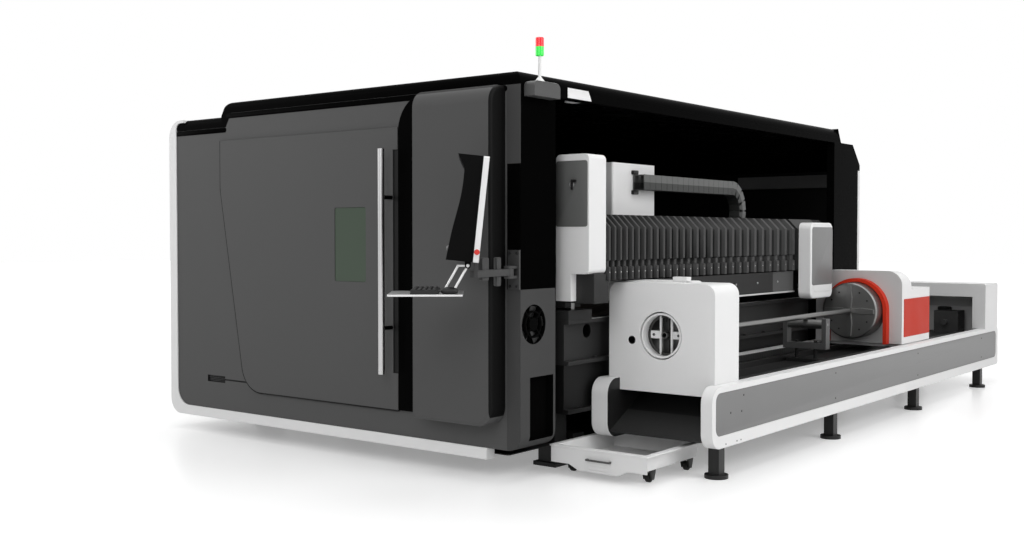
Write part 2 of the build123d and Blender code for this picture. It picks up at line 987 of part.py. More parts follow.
def bellows_face(shrink):
    """Cross-section of the beam's bellows in x and z, drawn in by shrink on its outer side."""
    inner_x = beam_x[1] + slide_gap
    inner_z = beam_top + slide_gap
    outer_x = gantry_face - shrink
    outer_z = beam_top + bellows_depth - shrink
    return sharp(
        (inner_x, beam_bottom),
        (outer_x, beam_bottom),
        (outer_x, outer_z - bellows_chamfer),
        (outer_x - bellows_chamfer, outer_z),
        (gantry_face - bellows_roof_width, outer_z),
        (gantry_face - bellows_roof_width, inner_z),
        (inner_x - beam_chamfer, inner_z),
        (inner_x, inner_z - beam_chamfer),
    )


def make_bellows(y, folds):
    """Folded cover of the beam between two stops: a core with a ridge at every fold, closest in front."""
    cover = prism_xz(bellows_face(bellows_valley), y)
    whole = sum(bellows_growth_share ** fold for fold in range(folds))
    low = y[0]
    for fold in range(folds):
        pitch = (y[1] - y[0]) * bellows_growth_share ** fold / whole
        ridge = low + (1 - bellows_fold_share) / 2 * pitch
        cover += prism_xz(bellows_face(0), (ridge, ridge + bellows_fold_share * pitch))
        low += pitch
    return cover


def make_gantry_beam():
    face = sharp(
        (beam_x[0], beam_bottom),
        (beam_x[1], beam_bottom),
        (beam_x[1], beam_top - beam_chamfer),
        (beam_x[1] - beam_chamfer, beam_top),
        (beam_x[0], beam_top),
    )
    beam = prism_xz(face, (beam_front, beam_rear))
    floor_z = chain_bend_z - math.hypot(chain_radius + chain_link_height / 2, chain_pitch / 2)
    trough = block((chain_x[0] - tray_wall, beam_x[0]), (chain_start, chain_start + tray_length),
                   (floor_z - tray_wall, floor_z))
    trough += block((chain_x[0] - tray_wall, chain_x[0]), (chain_start, chain_start + tray_length),
                    (floor_z - tray_wall, floor_z + chain_link_height / 2))
    return beam + trough


def make_drag_chain():
    middle = (chain_x[0] + chain_x[1]) / 2
    length = chain_pitch * (1 - chain_link_gap_share)
    link = Box(chain_width, length, chain_link_height)
    rib = Box(chain_width, chain_pitch + overrun, chain_link_height / 2)
    upper_z = chain_bend_z + chain_radius
    lower_z = chain_bend_z - chain_radius
    bend_y = chain_start + chain_upper_links * chain_pitch
    places = []
    for step in range(chain_upper_links):
        places.append((chain_start + (step + 1 / 2) * chain_pitch, upper_z, 0))
    for step in range(chain_loop_links):
        turn = 180 * (step + 1 / 2) / chain_loop_links
        angle = math.radians(turn)
        places.append((bend_y + chain_radius * math.sin(angle),
                       chain_bend_z + chain_radius * math.cos(angle), -turn))
    for step in range(chain_lower_links):
        places.append((bend_y - (step + 1 / 2) * chain_pitch, lower_z, 0))
    chain = Part()
    for y, z, turn in places:
        chain += Pos(middle, y, z) * Rot(turn, 0, 0) * link
        chain += Pos(middle, y, z) * Rot(turn, 0, 0) * rib
    return chain


def make_gantry_end_box():
    left = end_box_right - end_box_width
    front = beam_front - end_box_depth
    box = block((left, end_box_right), (front, beam_front), (end_box_low, end_box_low + end_box_height))
    box = fillet(box.edges().filter_by(Axis.Y), end_box_radius)
    leg_rear = rail_y[0] - carriage_width / 2 - end_box_leg_gap
    return box + block((left, left + end_box_leg_width), (front, leg_rear),
                       (end_box_low - end_box_leg_length, end_box_low + end_box_radius))


def make_gantry_carriages():
    pieces = []
    for y in rail_y:
        sides = (y - carriage_width / 2, y + carriage_width / 2)
        shoe = block((carriage_left, end_box_right), sides, (rail_top + slide_gap, beam_bottom))
        gap = rail_width / 2 + slide_gap
        for cheek in ((sides[0], y - gap), (y + gap, sides[1])):
            shoe += block((carriage_left, bed_right - rail_end_gap), cheek,
                          (rail_top - carriage_cheek, rail_top + slide_gap))
        pieces.append(shoe)
    front = pieces[0] + block((carriage_left, end_box_right), (rail_y[0] - carriage_width / 2, beam_front),
                              (beam_bottom, end_box_low))
    rear = pieces[1] + block(beam_x, (beam_rear, rail_y[1] + carriage_width / 2 + rear_plate_reach),
                             (beam_bottom, beam_top))
    return Compound(children=[front, rear])


def make_cable_box():
    right = chain_x[0] - tray_wall
    front = beam_front + cable_box_from_front
    box = block((right - cable_box_width, right), (front, front + cable_box_length),
                (cable_box_low, cable_box_low + cable_box_height))
    box = fillet(box.edges().filter_by(Axis.Z), cable_box_radius)
    chain_z = chain_bend_z + chain_radius
    return box + block((right - overrun, chain_x[0]), (chain_start, chain_start + chain_clamp_length),
                       (chain_z - chain_link_height / 2, chain_z + chain_link_height / 2))


def make_head_carriage():
    body = prism_xz(bellows_face(0), (head_front, head_rear))
    return body + block((gantry_face, gantry_face + head_plate_gap), (head_front, head_rear),
                        (beam_bottom, beam_top - head_lift_guide - bellows_chamfer))


def make_head_cover():
    left = gantry_face + head_plate_gap + slide_gap
    right = left + head_cover_depth
    high = head_cover_low + head_cover_height
    face = rounded_panel((head_front, head_rear), (head_cover_low, high), head_cover_radius)
    cover = prism_yz(face, (left, right))
    outer = cover.faces().sort_by(Axis.X)[-1].edges()
    cover = fillet(outer, head_edge_radius)
    inset_y = (head_front + head_inset_margin, head_rear - head_inset_margin)
    inset_z = (head_cover_low + head_inset_margin, high - head_inset_margin)
    inset = rounded_panel(inset_y, inset_z, head_inset_radius)
    cover -= prism_yz(inset, (right - head_inset_depth, right + overrun))
    x, y = nozzle_place()
    return cover - rod_z(nozzle_radius, x, y, (head_cover_low - overrun, head_cover_low + nozzle_bore_depth))


def nozzle_place():
    """Plan position of the nozzle's axis, in the middle of the head cover."""
    left = gantry_face + head_plate_gap + slide_gap
    return left + head_cover_depth / 2, (head_front + head_rear) / 2


def make_cutting_nozzle():
    x, y = nozzle_place()
    body = rod_z(nozzle_radius, x, y, (nozzle_tip + nozzle_cone, head_cover_low + nozzle_bore_depth))
    tip = Pos(x, y, nozzle_tip + nozzle_cone / 2) * Cone(nozzle_tip_radius, nozzle_radius, nozzle_cone)
    return body + tip


def tube_bed_side(x, inset_side):
    """Long side beam of the tube bed with a shallow panel sunk into its outer face."""
    face = outline(
        (tube_bed_front, tube_bed_low, tube_bed_front_radius),
        (tube_bed_rear, tube_bed_low, tube_bed_rear_radius),
        (tube_bed_rear, tube_bed_high, tube_bed_rear_radius),
        (tube_bed_front, tube_bed_high, tube_bed_front_radius),
    )
    beam = prism_yz(face, x)
    inset_y = (tube_bed_front + inset_front, tube_bed_rear - inset_rear)
    inset_z = (tube_bed_low + inset_low, tube_bed_high - inset_high)
    panel = rounded_panel(inset_y, inset_z, inset_radius)
    span = (x[1] - inset_depth, x[1] + overrun) if inset_side > 0 else (x[0] - overrun, x[0] + inset_depth)
    return beam - prism_yz(panel, span)


def make_tube_bed_deck():
    return block(tube_bed_inner, (deck_front, tube_bed_rear - deck_rear_gap),
                 (deck_high - deck_thickness, deck_high))


def make_tube_rails():
    pieces = []
    for side in (-1, 1):
        x = deck_mid + side * tube_rail_spread / 2
        pieces.append(block((x - tube_rail_width / 2, x + tube_rail_width / 2),
                            (tube_rail_front, tube_rail_rear), (deck_high, tube_rail_top)))
    rack_x = tube_bed_inner[1] - rack_offset
    pieces.append(block((rack_x - rack_width / 2, rack_x + rack_width / 2),
                        (tube_rail_front, tube_rail_rear), (deck_high, deck_high + rack_height)))
    return Compound(children=pieces)


def make_tube_bed_feet():
    right_x = tube_bed_right_out - tube_bed_right_width / 2
    left_x = tube_bed_left_out + tube_bed_left_width / 2
    places = [(right_x, share) for share in foot_length_shares]
    places += [(left_x, share) for share in (foot_left_first_share, *foot_length_shares[1:])]
    feet = []
    for x, share in places:
        y = tube_bed_front + share * tube_bed_length
        foot = block((x - foot_column / 2, x + foot_column / 2), (y - foot_column / 2, y + foot_column / 2),
                     (0, tube_bed_low))
        feet.append(foot + rod_z(foot_disc_radius, x, y, (0, foot_disc_height)))
    return Compound(children=feet)


def make_front_chuck_housing():
    face = outline(
        (housing_left, tube_bed_high, 0),
        (housing_right, tube_bed_high, 0),
        (housing_right, housing_top, housing_radius),
        (housing_left, housing_top, housing_radius),
    )
    body = prism_xz(face, (housing_front, housing_rear))
    cap_x = (housing_left - cap_left_reach, housing_right - cap_right_inset)
    cap = block(cap_x, (housing_rear - cap_depth, housing_rear), (cap_top - cap_height, cap_top))
    body += fillet(cap.edges().filter_by(Axis.Y).group_by(Axis.Z)[-1], cap_radius)
    body += block(tube_bed_inner, (housing_front, housing_rear),
                  (tube_bed_high - housing_skirt_drop, tube_bed_high))
    body -= rod_y(ring_radius + turn_gap, axis_x, (housing_front - overrun, housing_rear + overrun), axis_z)
    hole_y = (housing_front - overrun, housing_front + housing_hole_depth)
    return body - rod_y(housing_hole_radius, axis_x - housing_hole_side, hole_y, axis_z - housing_hole_drop)


def chuck_jaw(inner, outer, width, y):
    """One jaw, drawn pointing up from the chuck's axis."""
    return block((-width / 2, width / 2), y, (inner, outer))


def make_front_chuck():
    span = (housing_front + ring_recess, housing_rear - ring_rear_inset)
    ring = rod_y(ring_radius, axis_x, span, axis_z)
    ring -= rod_y(ring_bore, axis_x, (span[0] - overrun, span[1] + overrun), axis_z)
    grip = tube_radius + jaw_grip_gap
    jaw = chuck_jaw(grip, (ring_bore + ring_radius) / 2, jaw_width, (0, jaw_depth))
    for number in range(jaw_count):
        ring += Pos(axis_x, span[0] + jaw_recess, axis_z) * Rot(0, 360 * number / jaw_count, 0) * jaw
    return ring


def make_scrap_chute():
    front = tube_bed_front + chute_front_inset
    low = tube_bed_low + chute_front_lift
    high = tube_bed_low + chute_rear_lift
    face = sharp(
        (front, low),
        (housing_rear, high),
        (housing_rear, high - chute_thickness),
        (front, low - chute_thickness),
    )
    return prism_yz(face, tube_bed_inner)


def make_support_base():
    base = block((axis_x - support_base_width / 2, axis_x + support_base_width / 2),
                 (support_y - support_base_length / 2, support_y + support_base_length / 2),
                 (deck_high, deck_high + support_base_height))
    for side in (-1, 1):
        base += rod_z(support_post_radius, axis_x + side * support_post_spread / 2, support_y,
                      (deck_high, deck_high + support_post_height))
    return base


def roller_z():
    """Height of the support roller's axis, just under the tube."""
    return axis_z - tube_radius - slide_gap - support_roller_radius


def make_support_lift():
    x = (axis_x - support_yoke_width / 2, axis_x + support_yoke_width / 2)
    y = (support_y - support_yoke_length / 2, support_y + support_yoke_length / 2)
    yoke = block(x, y, (support_yoke_low, support_yoke_low + support_yoke_bar))
    for low in (x[0], x[1] - support_yoke_arm):
        yoke += block((low, low + support_yoke_arm), y, (support_yoke_low, axis_z - support_yoke_drop))
    for side in (-1, 1):
        yoke -= rod_z(support_post_radius + slide_gap, axis_x + side * support_post_spread / 2, support_y,
                      (support_yoke_low - overrun, support_yoke_low + support_yoke_bar + overrun))
    yoke -= rod_x(support_pin_radius + turn_gap, (x[0] - overrun, x[1] + overrun), support_y, roller_z())
    return yoke


def make_support_roller():
    x = (axis_x - support_yoke_width / 2, axis_x + support_yoke_width / 2)
    drum = (x[0] + support_yoke_arm + turn_gap, x[1] - support_yoke_arm - turn_gap)
    roller = rod_x(support_roller_radius, drum, support_y, roller_z())
    return roller + rod_x(support_pin_radius, x, support_y, roller_z())


def make_rear_chuck_housing():
    low_top = rear_top - rear_top_step
    step = rear_face + rear_step_from_face
    side = sharp(
        (rear_face, rear_low),
        (rear_end, rear_low),
        (rear_end, low_top),
        (step, low_top),
        (step - rear_slope, rear_top),
        (rear_face, rear_top),
    )
    body = prism_yz(side, (rear_left, rear_right))
    front = outline(
        (rear_left, rear_low, 0),
        (rear_right, rear_low, 0),
        (rear_right, rear_top, rear_radius),
        (rear_left, rear_top, rear_radius),
    )
    body = body & prism_xz(front, (rear_face, rear_end))
    shoe_x = (tube_bed_inner[0] + rear_shoe_inset, tube_bed_inner[1] - rear_shoe_inset)
    return body + block(shoe_x, (rear_face + rear_shoe_front, rear_end - rear_shoe_front),
                        (tube_rail_top + slide_gap, rear_low))


def make_rear_red_trim():
    arch = Pos(axis_x, axis_z) * Circle(arch_radius)
    arch += Pos(axis_x, (axis_z + rear_low) / 2) * Rectangle(2 * arch_radius, axis_z - rear_low)
    inner = arch_radius - arch_thickness
    hollow = Pos(axis_x, axis_z) * Circle(inner)
    below_axis = Rectangle(2 * inner, axis_z - rear_low + overrun)
    hollow += Pos(axis_x, (axis_z + rear_low) / 2 - overrun) * below_axis
    below = Pos(axis_x, rear_low - arch_radius / 2) * Rectangle(2 * arch_radius, arch_radius)
    pieces = [prism_xz(arch - hollow - below, (rear_face - arch_depth, rear_face))]
    panel_y = (rear_face + red_panel_front, rear_end - red_panel_rear)
    panel_z = (rear_low + red_panel_lift, rear_low + red_panel_lift + red_panel_height)
    for x in ((rear_left - red_panel_proud, rear_left), (rear_right, rear_right + red_panel_proud)):
        pieces.append(block(x, panel_y, panel_z))
    return Compound(children=pieces)


def make_rear_chuck_disc():
    disc = rod_y(disc_radius, axis_x, (disc_front, disc_front + disc_length), axis_z)
    disc = fillet(disc.edges().group_by(Axis.Y)[0], disc_edge_radius)
    grip = tube_radius
    reach = disc_radius * rear_jaw_reach_share
    face = sharp((-rear_jaw_tip / 2, grip), (rear_jaw_tip / 2, grip), (rear_jaw_width / 2, reach / 2),
                 (rear_jaw_tip / 2, reach), (-rear_jaw_tip / 2, reach), (-rear_jaw_width / 2, reach / 2))
    jaw = prism_xz(face, (-rear_jaw_depth, 0))
    for number in range(jaw_count):
        disc += Pos(axis_x, disc_front, axis_z) * Rot(0, 360 * number / jaw_count, 0) * jaw
    seat_y = (disc_front - overrun - rear_jaw_depth, disc_front + tube_rear_seat)
    return disc - rod_y(tube_radius, axis_x, seat_y, axis_z)


def make_workpiece_tube():
    span = (housing_front + tube_front_inset, disc_front + tube_rear_seat)
    tube = rod_y(tube_radius, axis_x, span, axis_z)
    return tube - rod_y(tube_bore, axis_x, (span[0] - overrun, span[1] + overrun), axis_z)


def make_end_gate():
    body = block((tube_bed_left_out, tube_bed_right_out), (gate_front, gate_rear), (tube_bed_high, gate_top))
    body = fillet(body.edges().filter_by(Axis.Y).group_by(Axis.Z)[-1], gate_edge_radius)
    opening_y = (gate_front - overrun, gate_rear + overrun)
    opening_z = (tube_bed_high - overrun, gate_top - gate_lintel)
    opening_x = (tube_bed_left_out + gate_wall, tube_bed_right_out - gate_wall)
    return body - block(opening_x, opening_y, opening_z)


def make_end_motor():
    front = gate_front + motor_setback
    body = block((deck_mid - motor_width / 2, deck_mid + motor_width / 2), (front, front + motor_length),
                 (deck_high, deck_high + motor_height))
    return body + rod_y(motor_shaft_radius, deck_mid, (front - motor_shaft_length, front),
                        deck_high + motor_height / 2)


def make_scrap_tray():
    middle_x = (tray_left + tray_right) / 2
    middle_y = (tray_front + tray_rear) / 2
    wide = (tray_right - tray_left - 2 * tray_flange, tray_rear - tray_front - 2 * tray_flange)
    depth = tray_rim - tray_floor
    tub = Pos(middle_x, middle_y, tray_rim) * extrude(Rectangle(*wide), -depth, taper=tray_taper)
    inside = (wide[0] - 2 * tray_sheet, wide[1] - 2 * tray_sheet)
    hollow = extrude(Rectangle(*inside), tray_sheet - depth, taper=tray_taper)
    hollow = Pos(middle_x, middle_y, tray_rim) * hollow
    rim = block((tray_left, tray_right), (tray_front, tray_rear), (tray_rim - tray_sheet, tray_rim))
    rim -= Pos(middle_x, middle_y, tray_rim) * Box(inside[0], inside[1], depth)
    half_lobe = apron_lobe_width / 2
    apron_face = sharp(
        (tray_left, tray_rim),
        (tray_right, tray_rim),
        (tray_right, apron_low),
        (middle_x + half_lobe + apron_lobe_slope, apron_low),
        (middle_x + half_lobe, apron_lobe_low),
        (middle_x - half_lobe, apron_lobe_low),
        (middle_x - half_lobe - apron_lobe_slope, apron_low),
        (tray_left, apron_low),
    )
    slot_mid = Pos(middle_x, apron_lobe_low + apron_slot_above + apron_slot_height / 2)
    apron_face -= slot_mid * SlotOverall(apron_slot_width, apron_slot_height)
    tray = tub - hollow + rim + prism_xz(apron_face, (tray_front, tray_front + tray_sheet))
    for x, y in wheel_places:
        tray += caster_fork(x, y)
    return tray


def caster_fork(x, y):
    """Fixed caster fork with its axle: a top plate and two cheeks beside the wheel."""
    half = wheel_width / 2 + fork_gap
    top = 2 * wheel_radius + fork_drop
    fork = block((x - half - fork_sheet, x + half + fork_sheet), (y - wheel_radius, y + wheel_radius),
                 (top - fork_sheet, tray_floor))
    for low in (x - half - fork_sheet, x + half):
        fork += block((low, low + fork_sheet), (y - wheel_radius / 2, y + wheel_radius / 2),
                      (wheel_radius - axle_radius * 2, top))
    return fork + rod_x(axle_radius, (x - half, x + half), y, wheel_radius)


def make_wheel(x, y):
    wheel = rod_x(wheel_radius, (x - wheel_width / 2, x + wheel_width / 2), y, wheel_radius)
    wheel = fillet(wheel.edges(), wheel_edge_radius)
    return wheel - rod_x(axle_radius + axle_clearance, (x - wheel_width, x + wheel_width), y, wheel_radius)


def in_console(part):
    """Turns a piece drawn about the console's own post to its place beside the pillar."""
    return Pos(console_x, console_y, 0) * Rot(0, 0, console_turn) * part


def in_monitor(part):
    """Tilts a piece drawn from the monitor's lower edge and lifts it to its height."""
    return in_console(Pos(0, 0, monitor_low) * Rot(monitor_tilt, 0, 0) * part)


def make_monitor_back():
    slab = block((-monitor_width / 2, monitor_width / 2), (0, monitor_slab), (0, monitor_height))
    slab = fillet(slab.edges().filter_by(Axis.Y), monitor_radius)
    collar = rod_x(estop_collar_radius, (monitor_width / 2, monitor_width / 2 + estop_collar_height),
                   monitor_slab / 2, estop_above + estop_collar_radius)
    bore = rod_x(estop_stem_radius + slide_gap, (monitor_width / 2 - estop_height, monitor_width),
                 monitor_slab / 2, estop_above + estop_collar_radius)
    return in_monitor(slab + collar - bore)


def make_estop_button():
    start = monitor_width / 2 + estop_collar_height
    z = estop_above + estop_collar_radius
    stem_x = (start - estop_collar_height / 2, start + estop_travel_gap)
    stem = rod_x(estop_stem_radius, stem_x, monitor_slab / 2, z)
    cap = rod_x(estop_radius, (start + estop_travel_gap, start + estop_travel_gap + estop_height),
                monitor_slab / 2, z)
    return in_monitor(stem + fillet(cap.edges().group_by(Axis.X)[-1], estop_edge_radius))


def make_monitor_hood():
    chin_z = monitor_height * hood_chin_share
    waist_z = monitor_height * hood_waist_share
    brow_z = monitor_height * hood_brow_share
    face = make_face(
        Polyline((-hood_chin_depth, chin_z), (-hood_base_depth, 0), (0, 0), (0, monitor_height),
                 (-hood_top_depth, monitor_height), (-hood_waist_depth, brow_z),
                 (-hood_waist_depth, waist_z))
        + Spline((-hood_waist_depth, waist_z), (-hood_chin_depth, chin_z),
                 tangents=((0, -1), (-hood_base_depth + hood_chin_depth, -chin_z))))
    hood = prism_yz(face, (-hood_width / 2, hood_width / 2))
    screen = block((-hood_width / 2 + screen_margin, hood_width / 2 - screen_margin),
                   (-hood_base_depth - overrun, -screen_depth), (chin_z, brow_z))
    return in_monitor(hood - screen) + hinge_lugs()


def hinge_lugs():
    """Two ears under the hood that hold the keyboard tray's hinge pin."""
    lugs = Part()
    for side in (-1, 1):
        x = sorted((side * hinge_reach, side * (hinge_reach - hinge_lug)))
        lug_y = (hinge_y - hinge_lug_radius, hinge_y + hinge_lug_radius)
        lug = block(x, lug_y, (hinge_z, monitor_low + overrun))
        lug += rod_x(hinge_lug_radius, x, hinge_y, hinge_z)
        lugs += lug - rod_x(hinge_pin_radius + turn_gap, (x[0] - overrun, x[1] + overrun), hinge_y, hinge_z)
    return in_console(lugs)


def make_console_arm():
    eye = rod_z(arm_eye_radius, pivot_x, pivot_y, (arm_low, arm_low + arm_height))
    run = Vector(console_x - pivot_x, console_y - pivot_y)
    turn = math.degrees(math.atan2(run.Y, run.X))
    bar = block((0, run.length), (-arm_width / 2, arm_width / 2), (arm_low, arm_low + arm_height))
    arm = eye + Pos(pivot_x, pivot_y, 0) * Rot(0, 0, turn) * bar
    hole_z = (arm_low - overrun, arm_low + arm_height + overrun)
    arm -= rod_z(pivot_radius + turn_gap, pivot_x, pivot_y, hole_z)
    post = in_console(block((-monitor_post / 2, monitor_post / 2), (post_inset, monitor_slab - post_inset),
                            (arm_low, monitor_low + overrun)))
    return arm + (post - make_monitor_back())


def make_keyboard_tray():
    start = -tray_plate_start - tray_plate_length
    plate_face = Pos(0, start + tray_plate_length / 2) * RectangleRounded(
        tray_plate_width, tray_plate_length, tray_plate_radius)
    tray = prism_xy(plate_face, (tray_plate_low, tray_plate_low + tray_plate_thickness))
    foot_z = tray_plate_low + tray_plate_thickness / 2
    leaf_front = hinge_y - tray_rod_spread - tray_rod_radius
    leaf_z = (hinge_z - hinge_leaf_height / 2, hinge_z + hinge_leaf_height / 2)
    tray += block((-tray_rod_x, tray_rod_x), (leaf_front, hinge_y), leaf_z)
    tray += rod_x(hinge_pin_radius, (-hinge_reach, hinge_reach), hinge_y, hinge_z)
    for x, offset in ((tray_rod_x - tray_rod_radius, 0), (tray_rod_radius - tray_rod_x, tray_rod_spread)):
        tray += rod_between(tray_rod_radius, (x, -tray_plate_start - tray_rod_drop - offset, foot_z),
                            (x, hinge_y - offset, hinge_z))
    return in_console(tray)


def make_keyboard():
    start = -tray_plate_start - keyboard_start - keyboard_length
    top = tray_plate_low + tray_plate_thickness
    face = RectangleRounded(keyboard_width, keyboard_length, keyboard_radius)
    face = Pos(0, start + keyboard_length / 2) * face
    return in_console(prism_xy(face, (top, top + keyboard_height)))


nodes = {
    "front_fascia": make_front_fascia(),
    "roof": make_roof(),
    "roof_side_beam": make_roof_side_beam(),
    "rear_pillar": make_rear_pillar(),
    "rear_wall": make_rear_wall(),
    "left_wall": make_left_wall(),
    "base_trim": make_base_trim(),
    "enclosure_base": make_enclosure_base(),
    "base_feet": make_base_feet(),
    "side_column": make_side_column(),
    "control_pillar": make_control_pillar(),
    "door_mullion": make_door_mullion(),
    "lamp_pole": make_lamp_pole(),
    "lamp_lenses": make_lamp_lenses(),
    "console_bracket": make_console_bracket(),
    "main_bed": make_main_bed(),
    "bed_legs": make_bed_legs(),
    "bed_rails": make_bed_rails(),
    "slat_table": make_slat_table(),
    "door_panel": make_door_panel(),
    "door_window": make_door_window(),
    "door_handle": make_door_handle(),
    "gantry_beam": make_gantry_beam(),
    "gantry_end_box": make_gantry_end_box(),
    "gantry_carriages": make_gantry_carriages(),
    "cable_box": make_cable_box(),
    "drag_chain": make_drag_chain(),
    "bellows_front": make_bellows((beam_front, head_front), bellows_front_folds),
    "bellows_rear": make_bellows((head_rear, beam_rear), bellows_rear_folds),
    "head_carriage": make_head_carriage(),
    "head_cover": make_head_cover(),
    "cutting_nozzle": make_cutting_nozzle(),
    "tube_bed_right": tube_bed_side((tube_bed_inner[1], tube_bed_right_out), 1),
    "tube_bed_left": tube_bed_side((tube_bed_left_out, tube_bed_inner[0]), -1),
    "tube_bed_deck": make_tube_bed_deck(),
    "tube_rails": make_tube_rails(),
    "tube_bed_feet": make_tube_bed_feet(),
    "front_chuck_housing": make_front_chuck_housing(),
    "front_chuck": make_front_chuck(),
    "scrap_chute": make_scrap_chute(),
    "support_base": make_support_base(),
    "support_lift": make_support_lift(),
    "support_roller": make_support_roller(),
    "rear_chuck_housing": make_rear_chuck_housing(),
    "rear_red_trim": make_rear_red_trim(),
    "rear_chuck_disc": make_rear_chuck_disc(),
    "workpiece_tube": make_workpiece_tube(),
    "end_gate": make_end_gate(),
    "end_motor": make_end_motor(),
    "scrap_tray": make_scrap_tray(),
    "monitor_back": make_monitor_back(),
    "monitor_hood": make_monitor_hood(),
    "console_arm": make_console_arm(),
    "keyboard_tray": make_keyboard_tray(),
    "keyboard": make_keyboard(),
    "estop_button": make_estop_button(),
}
for number, (x, y) in enumerate(wheel_places, start=1):
    nodes[f"tray_wheel_{number}"] = make_wheel(x, y)

# The origin goes to the floor under the middle of the whole machine's box
whole = Compound(children=[Compound(list(part.solids())) for part in nodes.values()]).bounding_box()
shift = (-(whole.min.X + whole.max.X) / 2, -(whole.min.Y + whole.max.Y) / 2, 0)

os.makedirs("parts", exist_ok=True)
for name, part in nodes.items():
    export_step(Pos(*shift) * part, f"parts/{name}.step")
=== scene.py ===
import math

import bpy
from mathutils import Matrix, Vector


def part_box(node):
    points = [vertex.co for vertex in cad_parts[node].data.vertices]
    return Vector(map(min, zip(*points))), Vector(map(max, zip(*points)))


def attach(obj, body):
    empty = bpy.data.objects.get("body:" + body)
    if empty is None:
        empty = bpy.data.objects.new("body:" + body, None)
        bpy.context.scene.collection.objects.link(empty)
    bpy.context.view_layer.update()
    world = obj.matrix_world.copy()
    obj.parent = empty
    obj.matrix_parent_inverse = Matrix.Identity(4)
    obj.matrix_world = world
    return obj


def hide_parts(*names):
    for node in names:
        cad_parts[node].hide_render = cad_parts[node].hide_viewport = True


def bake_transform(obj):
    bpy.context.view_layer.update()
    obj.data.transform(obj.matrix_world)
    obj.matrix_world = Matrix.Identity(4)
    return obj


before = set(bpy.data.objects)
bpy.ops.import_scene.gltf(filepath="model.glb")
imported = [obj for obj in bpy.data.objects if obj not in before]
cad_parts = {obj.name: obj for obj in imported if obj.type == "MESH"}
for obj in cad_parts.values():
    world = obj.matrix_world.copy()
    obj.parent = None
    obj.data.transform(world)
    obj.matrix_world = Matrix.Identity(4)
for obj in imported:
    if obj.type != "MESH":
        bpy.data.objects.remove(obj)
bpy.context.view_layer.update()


# Studio: a pale seamless floor, a white room and soft boxes overhead and to both sides.
# Sizes below are millimetres in the maker's own frame, whose zero is the floor under the middle
# of the enclosure's front; at() brings them into the model's frame in metres.
fascia_left = -1375
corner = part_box("front_fascia")[0]
zero = Vector((corner.x - fascia_left / 1000, corner.y, 0))


def at(x, y, z):
    """A point given in millimetres from the middle of the enclosure's front, in the model's metres."""
    return zero + Vector((x, y, z)) / 1000


def linear(colour):
    """An sRGB hex colour as the linear RGBA that sockets take."""
    parts = [int(colour[i:i + 2], 16) / 255 for i in (1, 3, 5)]
    return (*[c / 12.92 if c <= 0.04045 else ((c + 0.055) / 1.055) ** 2.4 for c in parts], 1)


def node(tree, kind, settings={}, links={}):
    """Adds one node; settings go to its properties or sockets, links join its sockets to (node, output)."""
    made = tree.nodes.new("ShaderNode" + kind)
    for key, value in settings.items():
        if isinstance(key, int) or key in made.inputs:
            made.inputs[key].default_value = value
        else:
            setattr(made, key, value)
    for key, (source, output) in links.items():
        tree.links.new(source.outputs[output], made.inputs[key])
    return made


def looked_at(tree):
    """One for rays that show the camera its background, straight or by way of gloss or glass, else nought."""
    path = node(tree, "LightPath")
    seen = node(tree, "Math", {"operation": "MAXIMUM"},
                {0: (path, "Is Camera Ray"), 1: (path, "Is Glossy Ray")})
    return node(tree, "Math", {"operation": "MAXIMUM"}, {0: (seen, 0), 1: (path, "Is Transmission Ray")})


def start_material(name):
    """A new material with its node tree and its shader."""
    material = bpy.data.materials.new(name)
    material.use_nodes = True
    return material, material.node_tree, material.node_tree.nodes["Principled BSDF"]


scene = bpy.context.scene
scene.view_settings.view_transform = "Standard"

camera = bpy.data.objects.new("photo_camera", bpy.data.cameras.new("photo_camera"))
scene.collection.objects.link(camera)
camera_fall, camera_turn = 1.637, 37.865
camera.location = at(4945, -4590, 1250)
camera.rotation_euler = (math.radians(90 - camera_fall), 0, math.radians(camera_turn))
camera.data.sensor_width = 36
camera.data.lens = 40.6
camera.data.clip_end = 200
scene.camera = camera

scene.world = bpy.data.worlds.new("white_room")
scene.world.use_nodes = True
room = scene.world.node_tree
room_light, room_seen = 0.3, 1.0
level = node(room, "MapRange", {"To Min": room_light, "To Max": room_seen}, {"Value": (looked_at(room), 0)})
room.links.new(level.outputs[0], room.nodes["Background"].inputs["Strength"])
room.nodes["Background"].inputs["Color"].default_value = (1, 1, 1, 1)

bpy.ops.object.select_all(action="DESELECT")
floor_width, floor_drop = 90, 0.0005
bpy.ops.mesh.primitive_plane_add(size=floor_width, location=(0, 0, -floor_drop))
floor = bpy.context.object
floor.name = "floor"
floor_paint, tree, shader = start_material("pale_floor")
shader.inputs["Base Color"].default_value = linear("#e8e8e8")
shader.inputs["Roughness"].default_value = 0.3
shader.inputs["Specular IOR Level"].default_value = 0.35
shader.inputs["Emission Color"].default_value = (1, 1, 1, 1)
place = node(tree, "TexCoord")
reach = node(tree, "VectorMath", {"operation": "LENGTH"}, {0: (place, "Object")})
near, far, near_glow, far_glow = 3.0, 8.0, 0.29, 0.8
fade = node(tree, "MapRange", {"From Min": near, "From Max": far, "To Min": near_glow, "To Max": far_glow},
            {"Value": (reach, "Value")})
glow = node(tree, "Math", {"operation": "MULTIPLY"}, {0: (fade, 0), 1: (looked_at(tree), 0)})
tree.links.new(glow.outputs[0], shader.inputs["Emission Strength"])
floor.data.materials.append(floor_paint)

